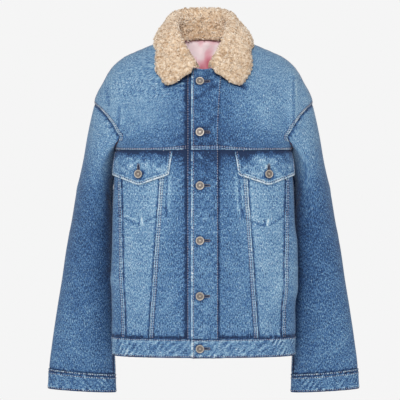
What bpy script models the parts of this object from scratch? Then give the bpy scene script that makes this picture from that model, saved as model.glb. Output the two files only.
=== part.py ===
"""Denim trucker jacket with a sherpa collar, buttoned up and filled out as if worn, with nobody in it.

Blender works in metres. The tables below are in millimetres, with +Z up, the front towards -Y and the
wearer's left towards +X. The origin is the middle of the neck, level with the tops of the shoulder seams.
"Angle" runs round the body in degrees from the centre front (0) over the wearer's left side (90) to the
centre back (180). "Level" is the height above the hem, measured along the body up to the neck (615).
"""

import math

import bmesh
import bpy
import numpy as np
from mathutils import Vector

MM = 0.001
CLOTH = 2.0  # denim wall
BAND = 3.4  # waistband and cuffs are folded double
SATIN = 1.0
PILE = 10.5  # sherpa, from its backing to the tips
UNDER_COLLAR = 1.6
SEAM_GAP = 0.3
LAYER_GAP = 0.3
CUFF_LIFT = 0.8  # a cuff stands out past the sleeve by this
STEP = 0.5  # of an angle, level or turn, to either side, for the slope of a form

HEM = 0.0
BAND_TOP = 40.0
CHEST_SEAM = 423.0
BACK_YOKE_SEAM = 455.0
SHOULDER_POINT = 490.0
NECK = 615.0
SIDE_SEAM_ANGLE = 112.0
BACK_SEAM_BAND = 152.0  # angles of the two back seams at the band and at the yoke
BACK_SEAM_YOKE = 144.0
BACK_STEPS = (5, 8, 5)  # faces along the back yoke seam: side back, centre back, side back
LOWER_ROWS = 12  # rows of faces between the band and the chest seam

PLACKET_EDGE = -25.0  # x of the free edge of the lapped front
PLACKET_STITCH = 30.0  # x of the placket's inner edge
PLACKET_SLANT = 9.0  # how far that edge has moved out at the neck
UNDERLAP_EDGE = -34.0
BUTTON_X = -7.5
BUTTON_LEVELS = (20.0, 126.0, 238.0, 349.0, 464.0, 584.0)
BUTTON_GAP = 0.25  # a button stands off its cloth by this
FLAP_BUTTON_X = 131.0
FLAP_BUTTON_LEVEL = 373.0


def table(names, *rows):
    """Rows of numbers as a dictionary of named columns."""
    return dict(zip(names.split(), np.array(rows, float).T))


# Each ring passes the centre front, the widest point of the side (or the top of the shoulder) and the
# centre back. The powers square off its front and back quarters: 2 is an ellipse.
BODY = table(
    "level side_x side_y side_z front_y front_z back_y back_z front_power back_power",
    (0, 189, -40, -656, -110, -656, 98, -656, 2.35, 2.2),
    (40, 190, -42, -616, -114, -616, 103, -616, 2.4, 2.25),
    (126, 190, -44, -530, -117, -530, 106, -530, 2.4, 2.25),
    (184, 190, -45, -472, -118, -472, 107, -472, 2.4, 2.3),
    (236, 189, -45, -420, -117, -420, 108, -420, 2.45, 2.3),
    (286, 188, -46, -370, -116, -370, 109, -370, 2.5, 2.3),
    (356, 185, -47, -300, -116, -300, 110, -300, 2.55, 2.35),
    (396, 183, -46, -260, -116, -261, 111, -260, 2.6, 2.4),
    (423, 181, -40, -233, -116, -236, 112, -233, 2.7, 2.6),
    (440, 188, -26, -218, -116, -221, 113, -220, 2.85, 2.9),
    (455, 202, -10, -204, -115, -207, 113, -204, 2.95, 3.1),
    (490, 228, 0, -135, -112, -177, 111, -165, 2.45, 2.6),
    (520, 209, 2, -88, -109, -152, 107, -125, 2.3, 2.4),
    (545, 190, 3, -57, -105, -129, 102, -87, 2.25, 2.3),
    (565, 168, 4, -38, -101, -112, 97, -56, 2.15, 2.2),
    (585, 141, 4, -25, -96, -95, 90, -28, 2.1, 2.1),
    (600, 111, 5, -12, -90, -83, 84, -8, 2.0, 2.0),
    (615, 80, 5, 0, -80, -70, 78, 9, 2.0, 2.0),
)

# The armhole seam, turning from the shoulder point down the front to the underarm and up the back.
ARMHOLE = table(
    "turn angle level",
    (0, 90, 490),
    (20, 76, 490),
    (40, 62, 487),
    (60, 53, 478),
    (80, 50, 465),
    (96, 52, 450),
    (109, 66, 435),
    (120, 88, 423),
    (150, 102, 396),
    (180, 112, 385),
    (215, 122, 399),
    (250, 129, 428),
    (285, 127, 455),
    (325, 109, 480),
)

# Lines of the two front seams that run from the chest seam to the band: x at the chest and at the band.
V_SEAMS = table(
    "chest_x band_x",
    (86, 112),
    (169, 158.5),
)

# Sleeve rings, by the distance down the sleeve. Outer and inner are the ends of each ring's long axis.
SLEEVE = table(
    "down outer_x outer_z inner_x inner_z centre_y half_depth power",
    (0, 229, -135, 173, -271, 5, 84, 2.0),
    (30, 236, -162, 184, -288, 11, 83, 2.0),
    (60, 244, -198, 190, -303, 17, 81, 2.0),
    (100, 253, -248, 191, -326, 23, 78, 2.0),
    (160, 268, -315, 190, -366, 28, 73, 2.0),
    (220, 279, -378, 190, -412, 32, 67, 2.0),
    (285, 291, -441, 190, -462, 33, 61, 2.0),
    (350, 300, -504, 190, -518, 31, 55, 2.0),
    (415, 310, -567, 189.5, -577, 27, 48, 2.0),
    (480, 319, -630, 188.5, -640, 23, 40, 2.0),
    (540, 326, -691, 186, -703, 18, 31, 2.0),
    (582, 327.5, -733, 185, -741, 14, 23, 2.0),
)
SLEEVE_END = 540.0
CUFF_END = 582.0
ARMHOLE_BLEND = 90.0  # how far down the sleeve the armhole's own curve fades into the rings
TURNS = 24
FRONT_TURNS = 8  # turns of the armhole from the shoulder point to the chest seam
UNDERARM_TURN = 12
BACK_TURN = 19  # where the back yoke seam meets the armhole
SLEEVE_SEAMS = (11, 17)  # turns of the sleeve's two seams

# The collar, by the angle of the neck ring that each section stands on. The fold is the top of the
# backing, and the edge lies on the shoulder or the front, at its own angle and level of the body.
COLLAR = table(
    "angle rise fold_x fold_y fold_z edge_angle edge_level edge_lift",
    (180, 1.5, 0, 74, 68, 180, 589, 5),
    (150, 1.5, 37, 66, 66, 152, 592, 5),
    (120, 1.5, 61, 42, 54, 122, 603, 4),
    (90, 1.5, 67, 8, 32, 91, 609, 3.5),
    (62, 1.5, 60, -30, 6, 69, 602, 3.5),
    (38, 1.8, 49, -59, -20, 54, 597, 3.5),
    (20, 4.4, 36, -80, -43, 40, 582, 4),
    (9, 4.4, 27, -90, -57, 27, 564, 4.5),
)
FOLD_RADIUS = 4.5
COLLAR_LEAN = 0.08  # the wearer's left half of the collar stands closer to the neck by this share
FALL_BOW = 5.0  # how far the collar's fall bows out between its fold and its edge

# How far each front edge of the collar bows out, by the share of the way from the seam to the tip.
FRONT_EDGE = table(
    "share out",
    (0, 0),
    (0.5, 2),
    (0.6, 10),
    (0.7, 16),
    (0.8, 18),
    (0.9, 15),
    (1, 4),
)
PILE_SPREAD = 3.0  # the pile leans out past the backing's long edges by this
END_SPREAD = 3.0  # and by this past the front edges
LUMP = 1.0  # the pile's height rises and falls by this
FOLD_FADE = 20.0  # degrees over which a fold dies away before the side seam

# Soft ridges (+) and troughs (-) of the cloth, as lines seen from the front or the back.
FOLDS = table(
    "face from_x from_z to_x to_z width height",
    (1, 186, -80, 181, -215, 9, 3.0),
    (1, -180, -95, -176, -190, 12, 2.0),
    (1, 150, -110, 172, -200, 16, -2.0),
    (1, -148, -120, -168, -195, 16, -1.6),
    (1, 192, -425, 193, -515, 26, 5.0),
    (1, 120, -420, 165, -520, 20, 2.0),
    (1, -140, -440, -180, -500, 22, 2.4),
    (1, 60, -560, 120, -600, 16, 1.6),
    (1, -60, -590, -110, -560, 15, 1.5),
    (1, 175, -560, 140, -600, 16, -1.8),
    (1, -175, -575, -130, -600, 16, -1.8),
    (-1, 150, -110, 168, -230, 18, 3.0),
    (-1, -155, -105, -165, -235, 18, 2.6),
    (-1, 120, -300, 60, -420, 26, 2.6),
    (-1, -110, -330, -70, -430, 24, 2.2),
    (-1, -150, -470, -90, -590, 22, 2.4),
    (-1, 140, -500, 100, -600, 22, 2.6),
)

# Soft ridges and troughs across a sleeve: the turn they lie at, how far down, their slant and size.
SLEEVE_FOLDS = table(
    "turn down slant length width height",
    (95, 70, 60, 60, 12, 2.2),
    (150, 120, 35, 50, 14, -2.6),
    (120, 255, -35, 55, 16, 2.2),
    (150, 320, -30, 50, 15, -2.2),
    (60, 470, 20, 45, 16, 1.6),
    (225, 110, 40, 55, 15, 3.0),
    (240, 190, 30, 50, 16, -2.6),
    (215, 290, 25, 55, 16, 3.0),
    (230, 360, -25, 50, 16, -2.4),
    (300, 470, 20, 55, 18, 2.0),
)


def smooth(knots, values, at):
    """Values on a smooth curve through the knots, each with the slope between its two neighbours."""
    slopes = np.gradient(values, knots)
    at = np.clip(at, knots[0], knots[-1])
    i = np.clip(np.searchsorted(knots, at, side="right") - 1, 0, len(knots) - 2)
    span = knots[i + 1] - knots[i]
    t = (at - knots[i]) / span
    start = (1 + 2 * t) * (1 - t) ** 2 * values[i] + t * (1 - t) ** 2 * span * slopes[i]
    end = t * t * (3 - 2 * t) * values[i + 1] - t * t * (1 - t) * span * slopes[i + 1]
    return start + end


def row_at(rows, key, at):
    """The whole row of a table, read smoothly at one value of its key column."""
    return {name: smooth(rows[key], rows[name], at) for name in rows}


def unit(vectors):
    return vectors / np.linalg.norm(vectors, axis=-1, keepdims=True)


def normals(form, across, along):
    """Directions square to a form, found from the points on either side."""
    side = form(across + STEP, along) - form(across - STEP, along)
    up = form(across, along + STEP) - form(across, along - STEP)
    return unit(np.cross(side, up))


def body_rings(angle, level):
    """Points of the smooth body, before its folds."""
    ring = row_at(BODY, "level", level)
    signed = (angle + 180.0) % 360.0 - 180.0
    turn = np.radians(np.abs(signed))
    front = turn <= math.pi / 2
    far_y = np.where(front, ring["front_y"], ring["back_y"])
    far_z = np.where(front, ring["front_z"], ring["back_z"])
    power = np.where(front, ring["front_power"], ring["back_power"])
    sine, cosine = np.sin(turn), np.abs(np.cos(turn))
    radius = (sine**power + cosine**power) ** (-1 / power)
    depth = radius * cosine
    return np.stack(
        (
            np.sign(signed) * ring["side_x"] * radius * sine,
            ring["side_y"] + (far_y - ring["side_y"]) * depth,
            ring["side_z"] + (far_z - ring["side_z"]) * depth**2,
        ),
        axis=-1,
    )


def fold_height(points, angle):
    """How far the folds lift each point of the body."""
    past_side = (np.abs((angle + 180.0) % 360.0 - 180.0) - SIDE_SEAM_ANGLE) / FOLD_FADE
    weight = {1: np.clip(-past_side, 0, 1), -1: np.clip(past_side, 0, 1)}
    seen = points[..., [0, 2]]
    total = np.zeros(seen.shape[:-1])
    for i in range(len(FOLDS["face"])):
        start = np.array((FOLDS["from_x"][i], FOLDS["from_z"][i]))
        end = np.array((FOLDS["to_x"][i], FOLDS["to_z"][i]))
        run = end - start
        share = np.clip(((seen - start) @ run) / (run @ run), 0, 1)
        away = np.linalg.norm(seen - start - share[..., None] * run, axis=-1)
        lift = FOLDS["height"][i] * np.exp(-((away / FOLDS["width"][i]) ** 2))
        total += weight[int(FOLDS["face"][i])] * lift
    return total


def body(angle, level):
    """Points of the outside of the body."""
    angle, level = np.broadcast_arrays(np.asarray(angle, float), np.clip(level, HEM, NECK))
    points = body_rings(angle, level)
    lift = fold_height(points, angle)
    return points + normals(body_rings, angle, level) * lift[..., None]


def body_out(angle, level):
    return normals(body, np.asarray(angle, float), np.asarray(level, float))


def angle_at(level, x):
    """The angle of the front quarter at which a ring passes a given x."""
    ring = row_at(BODY, "level", np.asarray(level, float))
    share = (np.abs(x) / ring["side_x"]) ** ring["front_power"]
    return np.sign(x) * np.degrees(np.arctan((share / (1 - share)) ** (1 / ring["front_power"])))


def armhole(turn):
    """Angle and level of the body along the armhole seam."""
    laps = [ARMHOLE["turn"] + lap for lap in (-360, 0, 360)]
    knots = np.concatenate(laps)
    angle = smooth(knots, np.tile(ARMHOLE["angle"], 3), turn)
    level = smooth(knots, np.tile(ARMHOLE["level"], 3), turn)
    return np.stack((angle, level), axis=-1)


def sleeve_rings(turn, down):
    """Points of the wearer's left sleeve, before its folds. The turn runs from the outside to the front."""
    ring = row_at(SLEEVE, "down", down)
    around = np.radians(turn)
    power = ring["power"]
    reach = (np.abs(np.cos(around)) ** power + np.abs(np.sin(around)) ** power) ** (-1 / power)
    out, front = reach * np.cos(around), reach * np.sin(around)
    half_x = (ring["outer_x"] - ring["inner_x"]) / 2
    half_z = (ring["outer_z"] - ring["inner_z"]) / 2
    return np.stack(
        (
            ring["inner_x"] + half_x * (1 + out),
            ring["centre_y"] - ring["half_depth"] * front,
            ring["inner_z"] + half_z * (1 + out),
        ),
        axis=-1,
    )


def sleeve_form(turn, down):
    """The sleeve with its head drawn onto the armhole seam."""
    turn, down = np.broadcast_arrays(np.asarray(turn, float), np.asarray(down, float))
    seam = armhole(turn % 360)
    pull = body(seam[..., 0], seam[..., 1]) - sleeve_rings(turn, np.zeros_like(down))
    fade = np.clip(1 - down / ARMHOLE_BLEND, 0, 1) ** 2
    return sleeve_rings(turn, down) + pull * fade[..., None]


def sleeve(turn, down):
    """Points of the outside of the wearer's left sleeve."""
    turn, down = np.broadcast_arrays(np.asarray(turn, float), np.clip(down, 0, CUFF_END))
    lift = np.zeros(turn.shape)
    for i in range(len(SLEEVE_FOLDS["turn"])):
        along = (turn % 360 - SLEEVE_FOLDS["turn"][i]) / SLEEVE_FOLDS["length"][i]
        middle = SLEEVE_FOLDS["down"][i] + SLEEVE_FOLDS["slant"][i] * along
        away = (down - middle) / SLEEVE_FOLDS["width"][i]
        lift = lift + SLEEVE_FOLDS["height"][i] * np.exp(-(away**2) - (along * 2) ** 2)
    return sleeve_form(turn, down) + normals(sleeve_form, turn, down) * lift[..., None]


def sleeve_out(turn, down):
    return normals(sleeve, np.asarray(turn, float), np.asarray(down, float))


def spread(bottom, top, start, end):
    """A grid of (angle, level) stretched between the four lines round a piece."""
    up = np.linspace(0, 1, len(start))[:, None, None]
    over = np.linspace(0, 1, len(bottom))[None, :, None]
    rows = (1 - up) * bottom[None] + up * top[None]
    columns = (1 - over) * start[:, None] + over * end[:, None]
    low = (1 - over) * bottom[0] + over * bottom[-1]
    high = (1 - over) * top[0] + over * top[-1]
    return rows + columns - (1 - up) * low - up * high


def line(start, end, steps):
    share = np.linspace(0, 1, steps + 1)[:, None]
    return (1 - share) * np.array(start, float) + share * np.array(end, float)


def drawn_in(points, gap):
    """A grid of points with its four borders moved in by half the gap between neighbours."""
    points = points.copy()
    for axis in (0, 1):
        grid = np.moveaxis(points, axis, 0)
        grid[0] += unit(grid[1] - grid[0]) * gap / 2
        grid[-1] += unit(grid[-2] - grid[-1]) * gap / 2
    return points


def make_object(name, mesh, material):
    """An object of this mesh in the jacket's collection."""
    mesh.materials.append(material)
    made = bpy.data.objects.new(name, mesh)
    JACKET.objects.link(made)
    for face in mesh.polygons:
        face.use_smooth = True
    mesh.set_sharp_from_angle(angle=math.radians(50))
    return made


def sheet(name, outside, inside, material, gap=SEAM_GAP, closed=False):
    """A wall between two grids of points. A closed grid's last column meets its first."""
    if not closed:
        outside, inside = drawn_in(outside, gap), drawn_in(inside, gap)
    rows, columns = outside.shape[:2]
    shell = bmesh.new()
    bmesh.ops.create_grid(shell, x_segments=columns - 1, y_segments=rows - 1, size=0.5)
    place = shell.verts.layers.int.new("place")
    for vert in shell.verts:
        column = round((vert.co.x + 0.5) * (columns - 1))
        row = round((vert.co.y + 0.5) * (rows - 1))
        vert[place] = row * columns + column + 1
    for vert in shell.verts:
        vert.co = inside.reshape(-1, 3)[vert[place] - 1] * MM
    if closed:
        bmesh.ops.remove_doubles(shell, verts=shell.verts, dist=1e-6)
    moved = bmesh.ops.extrude_face_region(shell, geom=shell.faces[:])["geom"]
    for vert in moved:
        if isinstance(vert, bmesh.types.BMVert):
            vert.co = outside.reshape(-1, 3)[vert[place] - 1] * MM
    bmesh.ops.recalc_face_normals(shell, faces=shell.faces)
    mesh = bpy.data.meshes.new(name)
    shell.to_mesh(mesh)
    shell.free()
    return make_object(name, mesh, material)


def body_sheet(name, grid, material, lift=0.0, wall=CLOTH):
    """A piece on the body: a grid of (angle, level), lifted off the surface by a number or an array."""
    angle, level = grid[..., 0], grid[..., 1]
    points, out = body(angle, level), body_out(angle, level)
    lift = np.broadcast_to(lift, angle.shape)[..., None]
    return sheet(name, points + out * (lift + wall), points + out * lift, material)


def sleeve_sheet(name, turns, downs, side, material, wall=CLOTH, lift=0.0, closed=False):
    """A piece of a sleeve, mirrored for the wearer's right."""
    turn, down = np.meshgrid(np.array(turns, float), np.array(downs, float))
    points, out = sleeve(turn, down), sleeve_out(turn, down)
    mirror = np.array((side, 1, 1))
    outside, inside = (points + out * lift) * mirror, (points + out * (lift - wall)) * mirror
    return sheet(name, outside, inside, material, gap=2 * SEAM_GAP, closed=closed)


def material(name, colour, roughness, metallic=0.0):
    made = bpy.data.materials.new(name)
    made.use_nodes = True
    shader = made.node_tree.nodes["Principled BSDF"]
    shader.inputs["Base Color"].default_value = (*colour, 1)
    shader.inputs["Roughness"].default_value = roughness
    shader.inputs["Metallic"].default_value = metallic
    return made


def clear_scene():
    for thing in list(bpy.data.objects):
        bpy.data.objects.remove(thing, do_unlink=True)


def side_name(side):
    return "left" if side > 0 else "right"


def upright(band_x, chest_x):
    """(angle, level) up a seam of the front that runs straight from the band to the chest seam."""
    levels = np.linspace(BAND_TOP, CHEST_SEAM, LOWER_ROWS + 1)
    return np.stack((angle_at(levels, np.linspace(band_x, chest_x, LOWER_ROWS + 1)), levels), axis=-1)


def placket_seam(levels):
    """x of the placket's inner edge, which slants out a little below the neck."""
    return PLACKET_STITCH + PLACKET_SLANT * np.clip((levels - CHEST_SEAM) / (NECK - CHEST_SEAM), 0, 1) ** 2


def armhole_line(first, last, side):
    """(angle, level) along the armhole between two of its turns."""
    step = 1 if last > first else -1
    seam = armhole(np.arange(first, last + step, step) * 360.0 / TURNS)
    return seam * np.array((side, 1))


def front_yoke(side, denim):
    """From the placket to the shoulder seam and armhole, and from the chest seam to the neck."""
    shoulder = line((side * 90, SHOULDER_POINT), (side * 90, NECK), 5)
    outer = np.concatenate((armhole_line(FRONT_TURNS, 0, side), shoulder[1:]))
    levels = np.linspace(CHEST_SEAM, NECK, len(outer))
    edge = placket_seam(levels) if side > 0 else UNDERLAP_EDGE
    inner = np.stack((angle_at(levels, edge), levels), axis=-1)
    chest, neck = line(inner[0], outer[0], 8), line(inner[-1], outer[-1], 8)
    body_sheet(f"front_yoke_{side_name(side)}", spread(chest, neck, inner, outer), denim, lift=-CLOTH)


def lower_panel(name, top, start, end, denim):
    """From the band up to its top line, between two upright seams."""
    bottom = line(start[0], end[0], len(top) - 1)
    body_sheet(name, spread(bottom, top, start, end), denim, lift=-CLOTH)


def front_panels(side, denim):
    """The centre, V and side panels below the chest seam."""
    named = side_name(side)
    edge = PLACKET_STITCH if side > 0 else UNDERLAP_EDGE
    placket = upright(edge, edge)
    inner, outer = (side * upright(*seam) for seam in zip(V_SEAMS["band_x"], V_SEAMS["chest_x"]))
    inner[:, 1], outer[:, 1] = placket[:, 1], placket[:, 1]
    lower_panel(f"front_centre_{named}", line(placket[-1], inner[-1], 3), placket, inner, denim)
    lower_panel(f"front_pocket_panel_{named}", line(inner[-1], outer[-1], 4), inner, outer, denim)
    armhole_part = armhole_line(FRONT_TURNS, UNDERARM_TURN, side)
    top = np.concatenate((line(outer[-1], armhole_part[0], 2), armhole_part[1:]))
    side_seam = line((side * SIDE_SEAM_ANGLE, BAND_TOP), top[-1], LOWER_ROWS)
    lower_panel(f"side_panel_{named}", top, outer, side_seam, denim)


def back_yoke_grid():
    """(angle, level) over the back of both shoulders, from the yoke seam up to the neck."""
    outlines = []
    for side in (1, -1):
        shoulder = line((side * 90, SHOULDER_POINT), (side * 90, NECK), 5)
        outlines.append(np.concatenate((armhole_line(BACK_TURN, TURNS, side), shoulder[1:])))
    outlines[1][:, 0] += 360
    left, right = outlines
    seams = (left[0], (BACK_SEAM_YOKE, BACK_YOKE_SEAM), (360 - BACK_SEAM_YOKE, BACK_YOKE_SEAM), right[0])
    runs = [line(seams[i], seams[i + 1], steps) for i, steps in enumerate(BACK_STEPS)]
    seam = np.concatenate((runs[0], runs[1][1:], runs[2][1:]))
    return spread(seam, line(left[-1], right[-1], len(seam) - 1), left, right)


def back_panels(denim):
    """The back yoke over both shoulders, the centre back and the two side backs."""
    body_sheet("back_yoke", back_yoke_grid(), denim, lift=-CLOTH)
    armhole_part = armhole_line(UNDERARM_TURN, BACK_TURN, 1)
    side_seam = line((SIDE_SEAM_ANGLE, BAND_TOP), armhole_part[0], LOWER_ROWS)
    outer = np.concatenate((side_seam, armhole_part[1:]))
    ends = (BAND_TOP, BACK_YOKE_SEAM), (BACK_SEAM_BAND, BACK_SEAM_YOKE)
    seam = np.stack((np.interp(outer[:, 1], *ends), outer[:, 1]), axis=-1)
    across = seam * np.array((-1, 1)) + np.array((360, 0))
    lower_panel("back_centre", line(seam[-1], across[-1], BACK_STEPS[1]), seam, across, denim)
    for side in (1, -1):
        start, end = (border * np.array((side, 1)) for border in (outer, seam))
        top = line(start[-1], end[-1], BACK_STEPS[0])
        lower_panel(f"back_side_{side_name(side)}", top, start, end, denim)


def strip(from_x, levels, columns):
    """A grid of (angle, level) from a line of constant x to the placket's inner edge."""
    shares = np.linspace(0, 1, columns + 1)
    lines = [from_x + (placket_seam(levels) - from_x) * share for share in shares]
    return np.stack([np.stack((angle_at(levels, x), levels), axis=-1) for x in lines], axis=1)


def plackets(denim):
    """The underlap with the buttons, and the lapped placket over it in two lengths."""
    lower = np.linspace(BAND_TOP, CHEST_SEAM, LOWER_ROWS + 1)
    upper = np.linspace(CHEST_SEAM, NECK, 8)
    both = np.concatenate((lower, upper[1:]))
    free_edge = np.stack((angle_at(both, UNDERLAP_EDGE), both), axis=-1)[:, None]
    under = np.concatenate((free_edge, strip(PLACKET_EDGE, both, 3)), axis=1)
    body_sheet("underlap", under, denim, lift=-CLOTH)
    body_sheet("placket_lower", strip(PLACKET_EDGE, lower, 3), denim, lift=LAYER_GAP)
    body_sheet("placket_upper", strip(PLACKET_EDGE, upper, 3), denim, lift=LAYER_GAP)


LAP_RISE = 14.0  # the waistband's left end climbs onto its right end over this width


def waistband(denim):
    """One band right round, its left end lapped over its right end at the front."""
    start = float(angle_at(BAND_TOP / 2, PLACKET_STITCH))
    lapped = float(angle_at(BAND_TOP / 2, PLACKET_EDGE))
    rise = float(angle_at(BAND_TOP / 2, PLACKET_STITCH + LAP_RISE))
    under = np.linspace(start - 0.5, -90, 16)
    back = np.linspace(-90, -270, 25)[1:]
    front = np.linspace(-270, rise - 360, 12)[1:]
    over = np.array((start + 0.2, 0.0, lapped)) - 360
    angle = np.concatenate((under, back, front, over))
    lift = np.zeros(len(angle))
    lift[-3:] = BAND + LAYER_GAP
    angle, lift = angle[::-1], lift[::-1]
    level = np.linspace(HEM, BAND_TOP, 3)
    grid = np.stack(np.meshgrid(angle, level), axis=-1)
    body_sheet("waistband", grid, denim, lift=np.tile(lift, (3, 1)) - BAND, wall=BAND)


FLAP_TOP = 421.5
FLAP_CORNER = 371.0
FLAP_POINT = 350.0
FLAP_INNER_X = (63.0, 69.0)  # at the seam and at the lower corner
FLAP_POINT_X = 130.0
FLAP_OUTER_ANGLE = 80.0
FLAP_GAP = 0.8  # the flap stands off the panel by this at its seam
FLAP_FLARE = 1.2  # and by this much more at its lower edge


def pocket_flap(side, denim):
    """A flap hung from the chest seam, with a straight edge from each corner to the point."""
    across, knots = np.linspace(0, 1, 9), (0, 0.5, 1)
    down = np.linspace(1, 0, 5)
    inner = angle_at(FLAP_TOP, FLAP_INNER_X[0] + (FLAP_INNER_X[1] - FLAP_INNER_X[0]) * down)
    point = float(angle_at(FLAP_TOP, FLAP_POINT_X))
    angle = np.array([np.interp(across, knots, (edge, point, FLAP_OUTER_ANGLE)) for edge in inner])
    x = body_rings(angle[0], FLAP_CORNER)[:, 0]
    bottom = np.interp(x, x[[0, 4, 8]], (FLAP_CORNER, FLAP_POINT, FLAP_CORNER))
    level = FLAP_TOP + (bottom - FLAP_TOP) * down[:, None]
    grid = np.stack((angle * side, level), axis=-1)
    lift = FLAP_GAP + np.broadcast_to(FLAP_FLARE * down[:, None], level.shape)
    body_sheet(f"pocket_flap_{side_name(side)}", grid, denim, lift=lift)


def sleeves(side, denim):
    """Top sleeve, under sleeve and cuff."""
    named = side_name(side)
    downs = np.concatenate((np.linspace(0, 100, 5), np.linspace(140, SLEEVE_END, 9)))
    step = 360.0 / TURNS
    front_seam, back_seam = SLEEVE_SEAMS
    top = np.arange(back_seam - TURNS, front_seam + 1) * step
    under = np.arange(front_seam, back_seam + 1) * step
    sleeve_sheet(f"sleeve_top_{named}", top, downs, side, denim)
    sleeve_sheet(f"sleeve_under_{named}", under, downs, side, denim)
    cuff = np.arange(0, TURNS + 1) * step
    rows = np.linspace(SLEEVE_END + 2 * SEAM_GAP, CUFF_END, 4)
    sleeve_sheet(f"cuff_{named}", cuff, rows, side, denim, wall=BAND, lift=CUFF_LIFT, closed=True)


def collar_section(angle):
    """The collar's backing from the neck seam up over the fold and down to its edge, at one angle."""
    side = 1 if angle >= 0 else -1
    row = row_at({k: v[::-1] for k, v in COLLAR.items()}, "angle", abs(angle))
    rim = body(angle, NECK)
    seam = rim + unit(rim - body(angle, NECK - 1)) * row["rise"] - body_out(angle, NECK) * CLOTH / 2
    edge_angle = side * row["edge_angle"]
    edge = body(edge_angle, row["edge_level"]) + body_out(edge_angle, row["edge_level"]) * row["edge_lift"]
    lean = 1 - COLLAR_LEAN if side > 0 else 1.0
    fold = np.array((side * lean * row["fold_x"], row["fold_y"], row["fold_z"]))
    across = unit(unit(edge - seam) * np.array((1, 1, 0)))
    up = np.array((0, 0, 1.0))
    centre = fold - FOLD_RADIUS * up
    turns = np.radians((150, 90, 30))
    arc = [centre + FOLD_RADIUS * (math.sin(turn) * up + math.cos(turn) * across) for turn in turns]
    stand = [seam + (centre - FOLD_RADIUS * across - seam) * share for share in (0, 0.5, 1)]
    start = centre + FOLD_RADIUS * across
    fall = []
    for share in (0.0, 0.25, 0.5, 0.75, 1.0):
        bow = FALL_BOW * math.sin(math.pi * share)
        fall.append(start + (edge - start) * share + across * bow)
    return np.array(stand + arc + fall)


def collar_out(points):
    """Directions out of the pile's side of the backing, from the grid of its points."""
    along = np.gradient(points, axis=0)
    around = np.gradient(points, axis=1)
    return unit(np.cross(along, around))


def collars(sherpa, denim):
    """The sherpa top collar over its denim under collar, both folded over round the neck."""
    angles = np.concatenate((np.linspace(9, 180, 17), np.linspace(-180, -9, 17)[1:]))
    backing = np.array([collar_section(angle) for angle in angles])
    backing = backing.transpose(1, 0, 2)
    down = np.linspace(0, 1, len(backing))[:, None]
    bow = smooth(FRONT_EDGE["share"], FRONT_EDGE["out"], down)
    for end, next_in in ((0, 1), (-1, -2)):
        backing[:, end] += unit(backing[:, end] - backing[:, next_in]) * bow
    out = collar_out(backing)
    row, column = np.indices(backing.shape[:2])
    lumps = LUMP * np.sin(row * 2.3) * np.sin(column * 2.1)
    tips = backing + out * (PILE + lumps)[..., None]
    for end, next_in in ((0, 1), (-1, -2)):
        tips[:, end] += unit(tips[:, end] - tips[:, next_in]) * END_SPREAD * down
        tips[end] += unit(tips[end] - tips[next_in]) * PILE_SPREAD
    sheet("collar_sherpa", tips, backing + out * (UNDER_COLLAR / 2 + LAYER_GAP), sherpa)
    sheet("under_collar", backing + out * UNDER_COLLAR / 2, backing - out * UNDER_COLLAR / 2, denim)


def lining(satin):
    """The satin inside the back of the neck, from the neck seam down over the back yoke."""
    grid = back_yoke_grid()[TURNS - BACK_TURN :, 2:-2]
    body_sheet("lining_back_neck", grid, satin, lift=-CLOTH - LAYER_GAP - SATIN, wall=SATIN)


BUTTON_PROFILE = table(
    "radius height",
    (0, 2.4),
    (3.2, 1.7),
    (6.4, 3.1),
    (8.3, 2.7),
    (8.5, 0.9),
    (6.8, 0),
    (0, 0),
)


def button(name, angle, level, lift, metal):
    """A turned metal shank button, flat on the cloth below it."""
    mesh = bpy.data.meshes.new(name)
    turned = bmesh.new()
    profile = zip(BUTTON_PROFILE["radius"], BUTTON_PROFILE["height"])
    verts = [turned.verts.new((radius * MM, 0, height * MM)) for radius, height in profile]
    for first, second in zip(verts, verts[1:]):
        turned.edges.new((first, second))
    turned.to_mesh(mesh)
    turned.free()
    made = make_object(name, mesh, metal)
    screw = made.modifiers.new("turn", "SCREW")
    screw.steps = screw.render_steps = 12
    screw.use_merge_vertices = True
    screw.merge_threshold = 0.00005
    out = body_out(angle, level)
    made.location = Vector((body(angle, level) + out * lift) * MM)
    made.rotation_mode = "QUATERNION"
    made.rotation_quaternion = Vector(out).to_track_quat("Z", "Y")


def buttons(metal):
    """Six down the front and one on each flap."""
    on_placket = CLOTH + 2 * LAYER_GAP
    for i, level in enumerate(BUTTON_LEVELS):
        lift = on_placket if level > BAND_TOP else BAND + 2 * LAYER_GAP
        button(f"button_front_{i + 1}", float(angle_at(level, BUTTON_X)), level, lift + BUTTON_GAP, metal)
    for side in (1, -1):
        angle = float(angle_at(FLAP_BUTTON_LEVEL, side * FLAP_BUTTON_X))
        lift = CLOTH + FLAP_GAP + FLAP_FLARE
        button(f"button_flap_{side_name(side)}", angle, FLAP_BUTTON_LEVEL, lift + BUTTON_GAP, metal)


def main():
    light = material("denim_light", (0.16, 0.29, 0.47), 0.9)
    mid = material("denim_mid", (0.09, 0.19, 0.37), 0.9)
    sherpa = material("sherpa_cream", (0.62, 0.47, 0.31), 1.0)
    satin = material("satin_pink", (0.83, 0.5, 0.55), 0.35)
    metal = material("aged_nickel", (0.35, 0.31, 0.28), 0.4, 1.0)
    for side in (1, -1):
        front_yoke(side, light)
        front_panels(side, light)
        pocket_flap(side, light)
        sleeves(side, mid)
    back_panels(mid)
    plackets(mid)
    waistband(light)
    collars(sherpa, mid)
    lining(satin)
    buttons(metal)


clear_scene()
JACKET = bpy.data.collections.new("sherpa_collar_denim_jacket")
bpy.context.scene.collection.children.link(JACKET)
main()
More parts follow.
